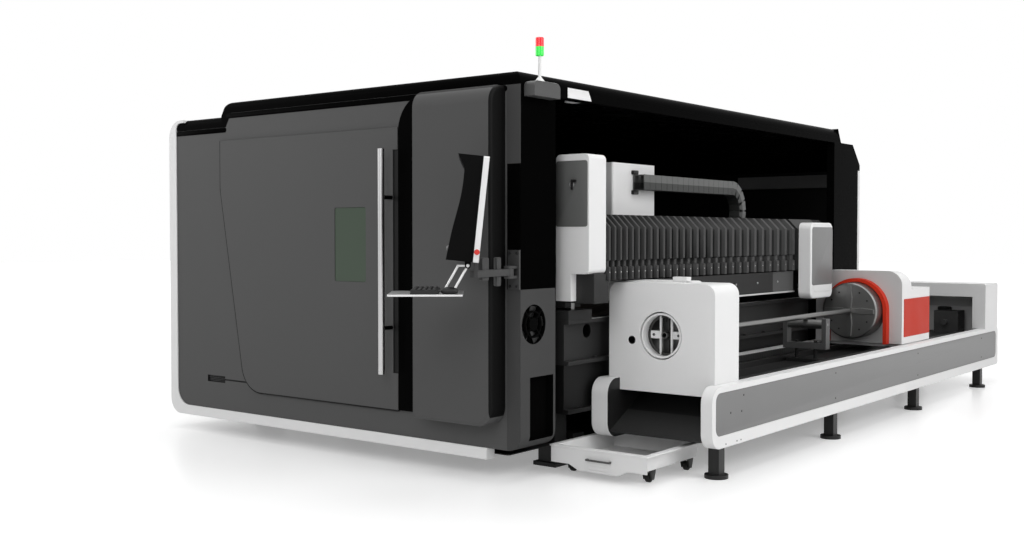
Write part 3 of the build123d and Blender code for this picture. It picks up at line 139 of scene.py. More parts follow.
for name, place, aim, size, power in (
    ("soft_box_front", (3600, -7200, 5200), (300, 600, 900), 5.0, 235),
    ("soft_box_right", (8200, 1500, 4600), (1700, 2200, 700), 5.0, 300),
    ("soft_box_top", (400, 1500, 8200), (400, 1700, 0), 7.0, 340),
    ("soft_box_left", (-7000, -3500, 4200), (-800, 500, 900), 5.0, 160),
):
    lamp = bpy.data.objects.new(name, bpy.data.lights.new(name, "AREA"))
    scene.collection.objects.link(lamp)
    lamp.location = at(*place)
    lamp.rotation_euler = (at(*aim) - at(*place)).to_track_quat("-Z", "Y").to_euler()
    lamp.data.size = size
    lamp.data.energy = power


# Outer walls and the trim round the front: folded sheet steel, white powder coat, screwed to the frame.
# The shell is black inside, and the left wall is cut into three service doors with flush locks.
# The coat's orange peel is about 2 mm; it is drawn at 5 mm so that it shows.
def painted(tree, place, colour, patches):
    """A coat's colour, a little uneven over a metre, with other colours sprayed inside boxes in millimetres.
    A patch is (colour, x span, y span, z span), and None leaves that direction open.
    A round patch has its centre in place of two spans, and its radius at the end."""
    cloud_scale, cloud_shade = 1.3, 0.93
    cloud = node(tree, "TexNoise", {"Scale": cloud_scale, "Detail": 3.0}, {"Vector": (place, "Object")})
    shade = [channel * cloud_shade for channel in linear(colour)[:3]] + [1]
    tone = node(tree, "Mix", {"data_type": "RGBA", 6: linear(colour), 7: shade}, {0: (cloud, "Fac")})
    parts = node(tree, "SeparateXYZ", {}, {"Vector": (place, "Object")})
    for patch, *spans in patches:
        inside = None
        if len(spans) == 4:
            radius = spans.pop() / 1000
            across = [0 if isinstance(span, tuple) else 1 for span in spans]
            centre = [zero[axis] + spans[axis] / 1000 if way else 0 for axis, way in enumerate(across)]
            flat = node(tree, "VectorMath", {"operation": "MULTIPLY", 1: across}, {0: (place, "Object")})
            far = node(tree, "VectorMath", {"operation": "DISTANCE", 1: centre}, {0: (flat, 0)})
            inside = node(tree, "Math", {"operation": "LESS_THAN", 1: radius}, {0: (far, "Value")})
            spans = [None if way else span for span, way in zip(spans, across)]
        for axis, span in enumerate(spans):
            if span is None:
                continue
            middle = zero[axis] + (span[0] + span[1]) / 2000
            test = node(tree, "Math", {"operation": "COMPARE", 1: middle, 2: (span[1] - span[0]) / 2000},
                        {0: (parts, axis)})
            inside = test if inside is None else node(
                tree, "Math", {"operation": "MULTIPLY"}, {0: (inside, 0), 1: (test, 0)})
        tone = node(tree, "Mix", {"data_type": "RGBA", 7: linear(patch)}, {0: (inside, 0), 6: (tone, 2)})
    return tone


def soft_bump(tree, shader, height, strength, depth, radius):
    """Raises the surface by a height node, over edges that shade as if rounded to that radius, in metres."""
    edge = node(tree, "Bevel", {"samples": 4, "Radius": radius})
    bump = node(tree, "Bump", {"Strength": strength, "Distance": depth},
                {"Height": (height, "Fac"), "Normal": (edge, "Normal")})
    tree.links.new(bump.outputs[0], shader.inputs["Normal"])


def uneven_gloss(tree, shader, pattern, least, most):
    """Lets the roughness follow a pattern node between two values."""
    gloss = node(tree, "MapRange", {"To Min": least, "To Max": most}, {"Value": (pattern, "Fac")})
    tree.links.new(gloss.outputs[0], shader.inputs["Roughness"])


def powder_coat(name, colour, roughness, grain, mirror, *patches):
    """Powder coat over sheet steel: slightly uneven colour, fine orange peel of that grain, soft corners."""
    material, tree, shader = start_material(name)
    shader.inputs["Specular IOR Level"].default_value = mirror
    place = node(tree, "TexCoord")
    tone = painted(tree, place, colour, patches)
    tree.links.new(tone.outputs[2], shader.inputs["Base Color"])
    peel = node(tree, "TexNoise", {"Scale": 1000 / grain, "Detail": 1.0}, {"Vector": (place, "Object")})
    uneven_gloss(tree, shader, peel, roughness - 0.04, roughness + 0.05)
    soft_bump(tree, shader, peel, strength=0.06, depth=0.001, radius=0.004)
    return material


def dress(material, *names):
    """Gives CAD nodes their finish."""
    for name in names:
        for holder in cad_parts[name].material_slots:
            holder.material = material


sprayed_white = "#eaeaea"
cabin = ("#0b0b0b", (-1408, 1440), (38, 4461), None)
seams = []
seam, wall_face = 6, (-1448, -1446)
door_foot, door_head = 220, 1840
for low, high in ((180, 1560), (1580, 2960), (2980, 4380)):
    seams.append(("#3a3a3a", wall_face, (low, high), (door_foot, door_head)))
    seams.append((sprayed_white, wall_face, (low + seam, high - seam), (door_foot + seam, door_head - seam)))
    seams.append(("#303030", wall_face, (high - 70, high - 40), (1000, 1080)))
white_coat = powder_coat("white_powder_coat", sprayed_white, 0.4, 5, 0.35)
dress(white_coat, "base_trim")
dress(powder_coat("white_shell_coat", sprayed_white, 0.4, 5, 0.35, cabin, *seams), "left_wall", "rear_wall")


def start_block(name, x, y, z):
    """A block from its (low, high) spans in millimetres, alone selected, with its place in its mesh."""
    bpy.ops.object.select_all(action="DESELECT")
    middle = at(*[(low + high) / 2 for low, high in (x, y, z)])
    size = [(high - low) / 1000 for low, high in (x, y, z)]
    bpy.ops.mesh.primitive_cube_add(size=1, location=middle, scale=size)
    piece = bpy.context.object
    piece.name = name
    bpy.ops.object.transform_apply(location=True, rotation=True, scale=True)
    return piece


def select_nothing(mesh, edges, faces):
    """Leaves edit mode with no part of the mesh selected, ready for its edges or its faces to be picked."""
    bpy.ops.object.mode_set(mode="OBJECT")
    bpy.context.tool_settings.mesh_select_mode = (False, edges, faces)
    for group in (mesh.vertices, mesh.edges, mesh.polygons):
        group.foreach_set("select", [False] * len(group))


def select_edges(piece, chosen):
    """Enters edit mode with the edges selected whose two ends, in millimetres, the test picks."""
    mesh = piece.data
    select_nothing(mesh, edges=True, faces=False)
    spots = [(v.co - zero) * 1000 for v in mesh.vertices]
    for edge in mesh.edges:
        edge.select = chosen(spots[edge.vertices[0]], spots[edge.vertices[1]])
    bpy.ops.object.mode_set(mode="EDIT")


def select_faces(piece, chosen):
    """Enters edit mode with the faces selected whose centre, in millimetres, and normal the test picks."""
    mesh = piece.data
    select_nothing(mesh, edges=False, faces=True)
    for face in mesh.polygons:
        face.select = chosen((face.center - zero) * 1000, face.normal)
    bpy.ops.object.mode_set(mode="EDIT")


def round_corners(piece, axis, radius, segments=6):
    """Bevels the edges that run along one axis (0, 1 or 2)."""
    select_edges(piece, lambda a, b: abs((a - b)[axis]) > 0.99 * (a - b).length)
    bpy.ops.mesh.bevel(offset=radius / 1000, segments=segments, affect="EDGES")
    bpy.ops.object.mode_set(mode="OBJECT")


def sink_face(piece, normal, margin, depth):
    """Insets the face that looks along normal by a margin, then pushes it in, or out by a negative depth."""
    way = Vector(normal)
    select_faces(piece, lambda centre, facing: facing.dot(way) > 0.99)
    bpy.ops.mesh.inset(thickness=margin / 1000, depth=0)
    bpy.ops.transform.translate(value=-way * depth / 1000)
    bpy.ops.object.mode_set(mode="OBJECT")


def slide_edges(piece, chosen, move):
    """Slides the edges that the test picks by a move in millimetres."""
    select_edges(piece, chosen)
    bpy.ops.transform.translate(value=Vector(move) / 1000)
    bpy.ops.object.mode_set(mode="OBJECT")


def narrow_top(piece, scale):
    """Draws in the upper face of a piece about its own middle."""
    select_faces(piece, lambda centre, facing: facing.z > 0.99)
    bpy.ops.transform.resize(value=scale)
    bpy.ops.object.mode_set(mode="OBJECT")


def open_through(piece, axis, wall):
    """Cuts a piece open along one axis (0, 1 or 2), leaving a wall in millimetres."""
    select_faces(piece, lambda centre, facing: abs(facing[axis]) > 0.99)
    bpy.ops.mesh.inset(thickness=wall / 1000, depth=0)
    bpy.ops.mesh.bridge_edge_loops()
    bpy.ops.object.mode_set(mode="OBJECT")


def cut_off(piece, spot, normal):
    """Cuts away what lies behind a plane through a point in millimetres, and closes the cut."""
    bpy.context.view_layer.objects.active = piece
    bpy.ops.object.mode_set(mode="EDIT")
    bpy.ops.mesh.select_all(action="SELECT")
    bpy.ops.mesh.bisect(plane_co=at(*spot), plane_no=normal, use_fill=True, clear_inner=True)
    bpy.ops.object.mode_set(mode="OBJECT")


def soft_edges(piece, width, segments=2):
    """Breaks the sharp edges of a finished form."""
    bevel = piece.modifiers.new("edge", "BEVEL")
    bevel.width = width / 1000
    bevel.segments = segments
    bevel.limit_method = "ANGLE"
    bevel.angle_limit = math.radians(40)
    bpy.context.view_layer.objects.active = piece
    bpy.ops.object.modifier_apply(modifier="edge")


def set_out(piece, moves):
    """Copies a piece to each of the moves, in millimetres or as matrices, and joins the copies to one run."""
    copies = []
    for move in moves:
        copy = piece.copy()
        copy.data = piece.data.copy()
        turn = move if isinstance(move, Matrix) else Matrix.Translation(Vector(move) / 1000)
        copy.data.transform(turn)
        scene.collection.objects.link(copy)
        copies.append(copy)
    name = piece.name
    bpy.data.objects.remove(piece)
    bpy.ops.object.select_all(action="DESELECT")
    for copy in copies:
        copy.select_set(True)
    bpy.context.view_layer.objects.active = copies[0]
    if len(copies) > 1:
        bpy.ops.object.join()
    copies[0].name = name
    return copies[0]


def fit(piece, material, body):
    """Smooths, finishes and hangs a piece on the body that carries it."""
    bpy.ops.object.select_all(action="DESELECT")
    piece.select_set(True)
    bpy.context.view_layer.objects.active = piece
    bpy.ops.object.shade_smooth_by_angle(angle=math.radians(35))
    piece.data.materials.clear()
    piece.data.materials.append(material)
    if body:
        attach(piece, body)
    return piece


# Back of the shell: two lift-off sheets of white coated steel, screwed on over the rear wall.
# Each has a field of seven pressed louvres for the air; the grey field behind them is painted shade.
sheet_pitch = 1340
back_sheet = start_block("rear_sheet", (-1300, -40), (4500, 4504), (300, 1690))
round_corners(back_sheet, 1, 45)
sink_face(back_sheet, (0, 1, 0), 24, -3)
soft_edges(back_sheet, 1)
back_sheet = set_out(back_sheet, ((0, 0, 0), (sheet_pitch, 0, 0)))
fit(back_sheet, white_coat, "machine")
field = start_block("louvre_field", (-1012, -328), (4504, 4508.5), (1148, 1438))
round_corners(field, 1, 10)
field = set_out(field, ((0, 0, 0), (sheet_pitch, 0, 0)))
fit(field, powder_coat("louvre_shadow_coat", "#4a4a4a", 0.5, 4, 0.2), "machine")
louvre = start_block("rear_louvres", (-1000, -340), (4507, 4521), (1400, 1426))
slide_edges(louvre, lambda a, b: min(a.y, b.y) > 4515 and min(a.z, b.z) > 1420, (0, -13, 0))
soft_edges(louvre, 2)
louvre_pitch = 40
louvre = set_out(louvre, [(side, 0, -louvre_pitch * row) for side in (0, sheet_pitch) for row in range(7)])
fit(louvre, white_coat, "machine")


# Front of the enclosure: dark grey powder-coated sheet, folded back at its edges and bolted from inside.
# The strip along the door's edge is black. The guide slot low on the left, with its moulded black grille,
# is painted black as the shade inside it, and the groove running on from it is painted darker as shade.
fascia_grey = "#525252"
slot_painted_shade = ("#0a0a0a", (-1071, -899), (-1, 13), (329, 371))
groove_painted_shade = ("#2a2a2a", (-900, -689), (-1, 9), (345, 355))
front_coat = powder_coat("grey_fascia_coat", fascia_grey, 0.5, 5, 0.12, cabin, slot_painted_shade, groove_painted_shade)
dress(front_coat, "front_fascia")
edge_black = ("#121212", (564, 601), (-11, 0), (499, 1721))
dress(powder_coat("grey_door_coat", fascia_grey, 0.5, 5, 0.12, edge_black), "door_panel")
slot_grille = start_block("slot_grille", (-1066, -904), (6, 10), (334, 340))
soft_edges(slot_grille, 1.5)
slot_grille = set_out(slot_grille, [(0, 0, 10 * row) for row in range(4)])
fit(slot_grille, powder_coat("black_grille_paint", "#161616", 0.5, 4, 0.25), "machine")


# Roof, its side beam, the rear pillar and the band beside the door: sheet steel in black gloss enamel.
# Its front edge is turned down over the fascia in two lips, and flush strips cover the joints of its sheets.
# The enamel is smooth, so the eye gets dark mirror streaks with a little haze from polishing.
def gloss_enamel(name, colour, roughness, mirror):
    """Sprayed enamel: even colour, long soft waves in the film, a clear reflection."""
    material, tree, shader = start_material(name)
    shader.inputs["Base Color"].default_value = linear(colour)
    shader.inputs["Specular IOR Level"].default_value = mirror
    place = node(tree, "TexCoord")
    haze = node(tree, "TexNoise", {"Scale": 6.0, "Detail": 4.0}, {"Vector": (place, "Object")})
    uneven_gloss(tree, shader, haze, roughness * 0.7, roughness * 1.4)
    wave = node(tree, "TexNoise", {"Scale": 9.0, "Detail": 1.0}, {"Vector": (place, "Object")})
    soft_bump(tree, shader, wave, strength=0.05, depth=0.004, radius=0.004)
    return material


def join(name, *pieces):
    """Makes one piece of several."""
    bpy.ops.object.select_all(action="DESELECT")
    for piece in pieces:
        piece.select_set(True)
    bpy.context.view_layer.objects.active = pieces[0]
    bpy.ops.object.join()
    pieces[0].name = name
    return pieces[0]


black_enamel = gloss_enamel("black_gloss_enamel", "#060606", 0.25, 0.004)
dress(black_enamel, "roof", "roof_side_beam", "rear_pillar", "door_mullion")
lip_depth, lip_corner = (-2.5, 1), 14
roof_lip = start_block("roof_lip", (-872, 1346), lip_depth, (1978, 2009))
round_corners(roof_lip, 1, lip_corner)
shoulder_lip = start_block("shoulder_lip", (-1374, -872), lip_depth, (1893, 1924))
round_corners(shoulder_lip, 1, lip_corner)
roof_lip = join("roof_lips", roof_lip, shoulder_lip)
soft_edges(roof_lip, 0.8)
fit(roof_lip, black_enamel, "machine")
roof_joint = start_block("roof_joints", (-800, 1360), (1320, 1370), (2080, 2084))
round_corners(roof_joint, 2, 12)
soft_edges(roof_joint, 1.5)
roof_sheet = 1350
roof_joint = set_out(roof_joint, ((0, 0, 0), (0, roof_sheet, 0)))
fit(roof_joint, black_enamel, "machine")


# Work light under the roof's right edge, its cover on the side beam and the cable trunk along the inside of
# the rear wall: folded sheet with a rolled lip, white for the light and grey for the trunk, screwed on.
work_light = start_block("work_light", (1266, 1378), (600, 690), (1982, 2009.5))
round_corners(work_light, 2, 14)
sink_face(work_light, (0, 0, -1), 8, 4)
soft_edges(work_light, 2)
fit(work_light, white_coat, "machine")
light_cover = start_block("work_light_cover", (1422, 1434), (408, 600), (1977, 2030))
slide_edges(light_cover, lambda a, b: min(a.y, b.y) > 590 and max(a.z, b.z) < 1980, (0, 30, 0))
sink_face(light_cover, (1, 0, 0), 6, 2)
soft_edges(light_cover, 2)
fit(light_cover, white_coat, "machine")
trunk = start_block("cable_trunk", (390, 1214), (4416, 4459.5), (1645, 1748))
sink_face(trunk, (0, -1, 0), 9, 3)
soft_edges(trunk, 2)
fit(trunk, powder_coat("trunk_grey_coat", "#6c6c6c", 0.45, 5, 0.3), "machine")


# Control pillar cover and the right front column: sheet as on the front, black on the folded returns.
# The column is grey at its top and foot and black between, where the console's bracket is bolted on.
pillar_side = ("#0a0a0a", (1321, 1340), None, None)
pillar_top = ("#101010", None, None, (1992, 2020))
dress(powder_coat("grey_pillar_coat", fascia_grey, 0.5, 5, 0.08, pillar_side, pillar_top), "control_pillar")
band_foot = 980
column_band = ("#050505", None, None, (band_foot, 1614))
column_side = ("#060606", None, (2, 400), (band_foot, 2100))
vent_y, vent_z, vent_radius = 112, 800, 101
# The vent's opening and the recess low in the column's side are painted near black as the shade inside them.
vent_painted_shade = ("#0e0e0e", (1395, 1431), vent_y, vent_z, vent_radius)
recess_painted_shade = ("#080808", (1380, 1429), (79, 284), (205, 535))
dress(powder_coat("column_coat", "#4c4c4c", 0.5, 5, 0.0, column_band, column_side, vent_painted_shade,
                  recess_painted_shade), "side_column")


# Fan behind the vent in the column's side: five blades moulded in black plastic.
# They are twisted and widen outwards, and the fan is screwed to the column from inside.
def start_bar(name, axis, radius, centre, span, sides=32):
    """A round bar along one axis: centre holds its other two places, span its ends, all in millimetres."""
    low, high = span
    place = list(centre)
    place.insert(axis, (low + high) / 2)
    turn = ((0, math.pi / 2, 0), (math.pi / 2, 0, 0), (0, 0, 0))[axis]
    bpy.ops.object.select_all(action="DESELECT")
    bpy.ops.mesh.primitive_cylinder_add(vertices=sides, radius=radius / 1000, depth=(high - low) / 1000,
                                        location=at(*place), rotation=turn)
    piece = bpy.context.object
    piece.name = name
    bpy.ops.object.transform_apply(location=True, rotation=True, scale=True)
    return piece


def turned(axis, centre, angles):
    """Moves that turn a piece about an axis (X, Y or Z) through a point in millimetres."""
    middle = Matrix.Translation(at(*centre))
    return [middle @ Matrix.Rotation(math.radians(angle), 4, axis) @ middle.inverted() for angle in angles]


blade = start_block("fan_blades", (1402, 1405), (90, 134), (832, 894))
select_faces(blade, lambda centre, facing: facing.z > 0.99)
bpy.ops.transform.translate(value=(0.012, 0.018, 0))
bpy.ops.transform.resize(value=(1, 1.25, 1))
bpy.ops.object.mode_set(mode="OBJECT")
soft_edges(blade, 1)
blade_count = 5
blade = set_out(blade, turned("X", (1403, vent_y, vent_z), range(0, 360, 360 // blade_count)))
fit(blade, powder_coat("moulded_fan_plastic", "#1a1a1a", 0.4, 3, 0.3), "machine")


# Base frame and levelling feet: welded square tube in black semi-matt paint, steel feet with moulded pads.
# A sheet pan in the same paint lies in the frame and closes the machine from below.
frame_paint = powder_coat("black_frame_paint", "#151515", 0.45, 4, 0.3)
dress(frame_paint, "enclosure_base", "base_feet")
pan = start_block("base_pan", (-1390, 1300), (70, 4440), (118, 124))
round_corners(pan, 2, 20)
soft_edges(pan, 1.5)
fit(pan, frame_paint, "machine")


# Lamp tower: a grey cast bracket bolted to the column, a white cone and tube screwed into it.
# On top are two moulded acrylic lenses, green below red, ribbed and lit from inside.
bracket_grey = ("#4a4a4a", None, None, (1900, 2026.5))
dress(powder_coat("lamp_post_coat", "#e6e6e6", 0.45, 4, 0.3, bracket_grey), "lamp_pole")
lens, tree, shader = start_material("lit_acrylic_lens")
place = node(tree, "TexCoord")
tone = painted(tree, place, "#2fdc4a", [("#e8202a", None, None, (2204, 2300))])
tree.links.new(tone.outputs[2], shader.inputs["Base Color"])
tree.links.new(tone.outputs[2], shader.inputs["Emission Color"])
shader.inputs["Emission Strength"].default_value = 0.35
shader.inputs["Roughness"].default_value = 0.2
ribs = node(tree, "TexWave", {"wave_type": "BANDS", "bands_direction": "X", "Scale": 60.0},
            {"Vector": (place, "Object")})
bump = node(tree, "Bump", {"Strength": 0.15, "Distance": 0.001}, {"Height": (ribs, "Fac")})
tree.links.new(bump.outputs[0], shader.inputs["Normal"])
dress(lens, "lamp_lenses")


# Door: a sheet leaf on top rollers with a laser-safe pane of dark green acrylic. A thin black strip along its
# edge is the painted shadow line of its gap; the edge slants below the middle and turns round a bend into
# the sill.
# The long bar handle is brushed steel on two black standoffs.
dress(gloss_enamel("laser_safe_acrylic", "#4c574c", 0.15, 0.08), "door_window")
shadow_line_depth, shadow_line_knee, shadow_line_lean = (-13, -2), 1540, 10.28
bend_x, bend_z, bend_turn, bend_steps = -548, 470, 79.7, 8
upright = start_block("shadow_line_upright", (-923, -915), shadow_line_depth, (shadow_line_knee - 2, 1840))
slant = start_block("shadow_line_slant", (-923, -915), shadow_line_depth, (420, shadow_line_knee))
slant = set_out(slant, turned("Y", (-915, 0, shadow_line_knee), (-shadow_line_lean,)))
foot = start_block("shadow_line_foot", (bend_x - 16, bend_x + 16), shadow_line_depth, (292, 300))
bend_angles = [bend_turn * step / bend_steps for step in range(bend_steps + 1)]
foot = set_out(foot, turned("Y", (bend_x, 0, bend_z), bend_angles))
sill = start_block("shadow_line_sill", (bend_x, 600), shadow_line_depth, (292, 300))
edge_shadow = join("door_edge_shadow_line", upright, slant, foot, sill)
soft_edges(edge_shadow, 1)
fit(edge_shadow, powder_coat("painted_edge_shadow", "#1c1c1c", 0.6, 3, 0.1), "door")


def brushed_steel(name, colour, roughness, axis, *patches):
    """Brushed or turned steel: fine streaks along one axis (0, 1 or 2), drawn 4 mm wide so that they show."""
    material, tree, shader = start_material(name)
    shader.inputs["Metallic"].default_value = 1
    place = node(tree, "TexCoord")
    tone = painted(tree, place, colour, patches)
    tree.links.new(tone.outputs[2], shader.inputs["Base Color"])
    along, across = 6.0, 250.0
    stretch = node(tree, "Mapping", {"Scale": [along if i == axis else across for i in range(3)]},
                   {"Vector": (place, "Object")})
    streak = node(tree, "TexNoise", {"Scale": 1.0, "Detail": 3.0}, {"Vector": (stretch, "Vector")})
    uneven_gloss(tree, shader, streak, roughness - 0.08, roughness + 0.1)
    soft_bump(tree, shader, streak, strength=0.04, depth=0.001, radius=0.003)
    return material


standoff_black = ("#0c0c0c", None, (-76, 0), None)
dress(brushed_steel("brushed_stainless", "#b0b0b0", 0.3, 2, standoff_black), "door_handle")


# Operator console: a white moulded back, a black hood round the screen with a row of push buttons under it,
# a thin aluminium shelf with a keyboard and a mouse, a red emergency stop on the side.
# It swings on an arm with two cast knuckles, from a bracket bolted to the column.
def in_console(piece, lift=0, tilt=0):
    """Brings a piece drawn about the console's post to its place, after tilting it about its lifted edge."""
    post_x, post_y, post_turn = 1432, -374, -50.3
    post = Matrix.Translation(at(post_x, post_y, lift)) @ Matrix.Rotation(math.radians(post_turn), 4, "Z")
    piece.data.transform(post @ Matrix.Rotation(math.radians(tilt), 4, "X") @ Matrix.Translation(-zero))
    return piece


dress(white_coat, "monitor_back")
dress(powder_coat("moulded_hood_plastic", "#070707", 0.45, 3, 0.04), "monitor_hood")
hood_lift, hood_tilt = 1129, -6
screen = start_block("screen_glass", (-168, 168), (-32, -26), (109, 424))
sink_face(screen, (0, -1, 0), 9, 2)
soft_edges(screen, 1)
in_console(screen, hood_lift, hood_tilt)
fit(screen, gloss_enamel("dark_screen_glass", "#0b0d11", 0.08, 0.5), "console")
button = start_bar("hood_buttons", 1, 11, (-100, 52), (-127, -117), 24)
sink_face(button, (0, -1, 0), 3, -3)
soft_edges(button, 1)
button_pitch = 50
button = set_out(button, [(button_pitch * number, 0, 0) for number in range(5)])
in_console(button, hood_lift, hood_tilt)
fit(button, powder_coat("grey_button_plastic", "#7a7a7a", 0.35, 3, 0.4), "console")
bracket_paint = powder_coat("bracket_paint", "#3c3c3c", 0.45, 4, 0.3)
dress(bracket_paint, "console_bracket", "console_arm")
for name, x, y, foot in (("arm_knuckle_outer", (1409, 1433), (-304, -254), 1034),
                         ("arm_knuckle_inner", (1397, 1419), (-174, -142), 1003)):
    knuckle = start_block(name, x, y, (foot, 1146))
    round_corners(knuckle, 0, 9)
    sink_face(knuckle, (1, 0, 0), 7, 3)
    soft_edges(knuckle, 1.5)
    fit(knuckle, bracket_paint, "console")
bracket_bolt = start_bar("bracket_bolts", 1, 8, (1373, 996), (-18, -12), 6)
soft_edges(bracket_bolt, 1)
bracket_bolt = set_out(bracket_bolt, [(x, 0, z) for x in (0, 44) for z in (0, 168)])
fit(bracket_bolt, frame_paint, "machine")
dress(brushed_steel("anodised_aluminium", "#c9c9c9", 0.35, 0), "keyboard_tray")
key_plastic = powder_coat("black_key_plastic", "#1d1d1d", 0.5, 2, 0.3)
dress(key_plastic, "keyboard")
key = start_block("keyboard_keys", (-150, -132), (-282, -263), (999, 1006))
narrow_top(key, (0.74, 0.76, 1))
soft_edges(key, 1, 1)
key_pitch, row_pitch = 21.6, 23.5
key = set_out(key, [(key_pitch * column, row_pitch * row, 0) for column in range(14) for row in range(5)])
in_console(key)
fit(key, powder_coat("key_cap_plastic", "#2a2a2a", 0.45, 2, 0.3), "keyboard_shelf")
mouse = start_block("hand_mouse", (98, 162), (-158, -60), (972, 1018))
swell = mouse.modifiers.new("swell", "SUBSURF")
swell.levels = swell.render_levels = 3
bpy.ops.object.modifier_apply(modifier="swell")
shelf_top = 981.2
cut_off(mouse, (0, 0, shelf_top), (0, 0, 1))
in_console(mouse)
fit(mouse, key_plastic, "keyboard_shelf")
dress(gloss_enamel("red_button_plastic", "#cf2a20", 0.25, 0.5), "estop_button")


# Flat bed: a welded steel frame in dark grey paint, ground rails on top, a table of toothed cutting slats.
# A bright strip of ground steel runs along the top of its right end, over a flange with ten bolts.
# Below the tube bed's top the frame is painted darker, as the shade that the tube bed casts on it.
bed_low_painted_shade = ("#151515", None, None, (0, 560))
# The hole in its right end is painted black as the shade inside it.
bed_hole_painted_shade = ("#050505", (1330, 1401), 635, 733, 39)
bed_paint = powder_coat("dark_bed_paint", "#2e2e2e", 0.42, 5, 0.18, bed_low_painted_shade, bed_hole_painted_shade)
dress(bed_paint, "main_bed", "gantry_beam", "gantry_carriages", "head_carriage")
dress(frame_paint, "bed_legs")
dress(brushed_steel("ground_rail_steel", "#b4b4b4", 0.28, 0), "bed_rails")
dress(brushed_steel("scorched_slat_steel", "#3b3733", 0.5, 1), "slat_table")
edge_strip = start_block("bed_edge_strip", (1404, 1430), (642, 3358), (800, 803))
soft_edges(edge_strip, 1)
fit(edge_strip, brushed_steel("ground_edge_steel", "#d8d8d8", 0.35, 1), "machine")
flange_bolt = start_bar("bed_flange_bolts", 2, 11, (1415, 700), (582, 592), 6)
soft_edges(flange_bolt, 1.5)
bolt_pitch = 300
flange_bolt = set_out(flange_bolt, [(0, bolt_pitch * number, 0) for number in range(10)])
fit(flange_bolt, frame_paint, "machine")


# Gantry covers: white powder-coated boxes at the near end and over the cables. A grey lid with a turn latch
# is let into the near one, and two black clamps hold the chain to the other.
dress(white_coat, "gantry_end_box", "cable_box", "head_cover")
end_lid = start_block("end_box_lid", (1363, 1564), (396, 400), (1299, 1645))
round_corners(end_lid, 1, 14)
soft_edges(end_lid, 1.5)
fit(end_lid, powder_coat("lid_grey_coat", "#616261", 0.42, 4, 0.3), "gantry")
latch_rose = start_bar("end_box_latch_rose", 1, 15, (1466, 1520), (393, 396), 32)
soft_edges(latch_rose, 1)
fit(latch_rose, powder_coat("latch_grey_coat", "#8c8c8c", 0.4, 3, 0.4), "gantry")
latch = start_block("latch_lever", (1466, 1476), (384, 393), (1492, 1546))
round_corners(latch, 1, 4)
latch_arm = start_block("latch_arm", (1474, 1498), (384, 391), (1530, 1545))
round_corners(latch_arm, 1, 4)
latch = join("end_box_latch", latch, latch_arm)
fit(latch, frame_paint, "gantry")
clamp = start_block("chain_clamps", (1246, 1266), (1334, 1386), (1500, 1524))
round_corners(clamp, 0, 4)
soft_edges(clamp, 1.5)
clamp_pitch = 120
clamp = set_out(clamp, ((0, 0, 0), (0, 0, clamp_pitch)))
fit(clamp, frame_paint, "gantry")


# Bellows over the beam: coated plates welded in folds, standing on the beam's front and top between the end
# box, the head's carriage and the far end, riveted along a groove. On the machine they close up as the head
# moves; here they are drawn at one length.
# The valleys of the folds on the beam's front are painted near black as the shade in them.
fold_painted_shade = ("#0b0b0b", (1500, 1562), None, (1000, 1290))
bellows_coat = powder_coat("bellows_coated_plate", "#343434", 0.42, 6, 0.2, fold_painted_shade)
ridge = ((1580, 1013), (1580, 1082), (1567, 1088), (1567, 1116), (1580, 1122), (1580, 1210), (1580, 1298),
         (1511, 1367), (1452, 1367))
valley = ((1551, 1013), (1551, 1082), (1548, 1088), (1548, 1116), (1551, 1122), (1551, 1210), (1551, 1285),
          (1498, 1339), (1452, 1339))
fold_steps = ((0.0, 0), (0.2, 0), (0.36, 1), (0.64, 1), (0.8, 0))
front_low, front_high, front_folds = 561, 2975, 28
rear_low, rear_high, rear_folds = 3350, 3500, 16


def fold_starts(low, high, folds):
    """Where the folds start and end along y: each is a little wider than the one before it."""
    growth = 1.032
    whole = sum(growth ** fold for fold in range(folds))
    starts = [low]
    for fold in range(folds):
        starts.append(starts[-1] + (high - low) * growth ** fold / whole)
    return starts


def fold_cover(name, low, high, folds):
    """A folded cover from y low to y high: a grid whose rows lie in turn in the fold's valley and ridge."""
    starts = fold_starts(low, high, folds)
    rows = [(start + share * (end - start), depth)
            for start, end in zip(starts, starts[1:]) for share, depth in fold_steps] + [(high, 0)]
    bpy.ops.object.select_all(action="DESELECT")
    bpy.ops.mesh.primitive_grid_add(x_subdivisions=len(ridge) - 1, y_subdivisions=len(rows) - 1, size=1)
    piece = bpy.context.object
    piece.name = name
    for number, vertex in enumerate(piece.data.vertices):
        row, column = divmod(number, len(ridge))
        y, depth = rows[row]
        x, z = ridge[column] if depth else valley[column]
        vertex.co = at(x, y, z)
    bpy.ops.object.mode_set(mode="EDIT")
    bpy.ops.mesh.select_all(action="SELECT")
    bpy.ops.mesh.normals_make_consistent(inside=False)
    bpy.ops.object.mode_set(mode="OBJECT")
    wall = piece.modifiers.new("wall", "SOLIDIFY")
    wall.thickness = 0.003
    wall.offset = -1
    bpy.ops.object.modifier_apply(modifier="wall")
    return piece


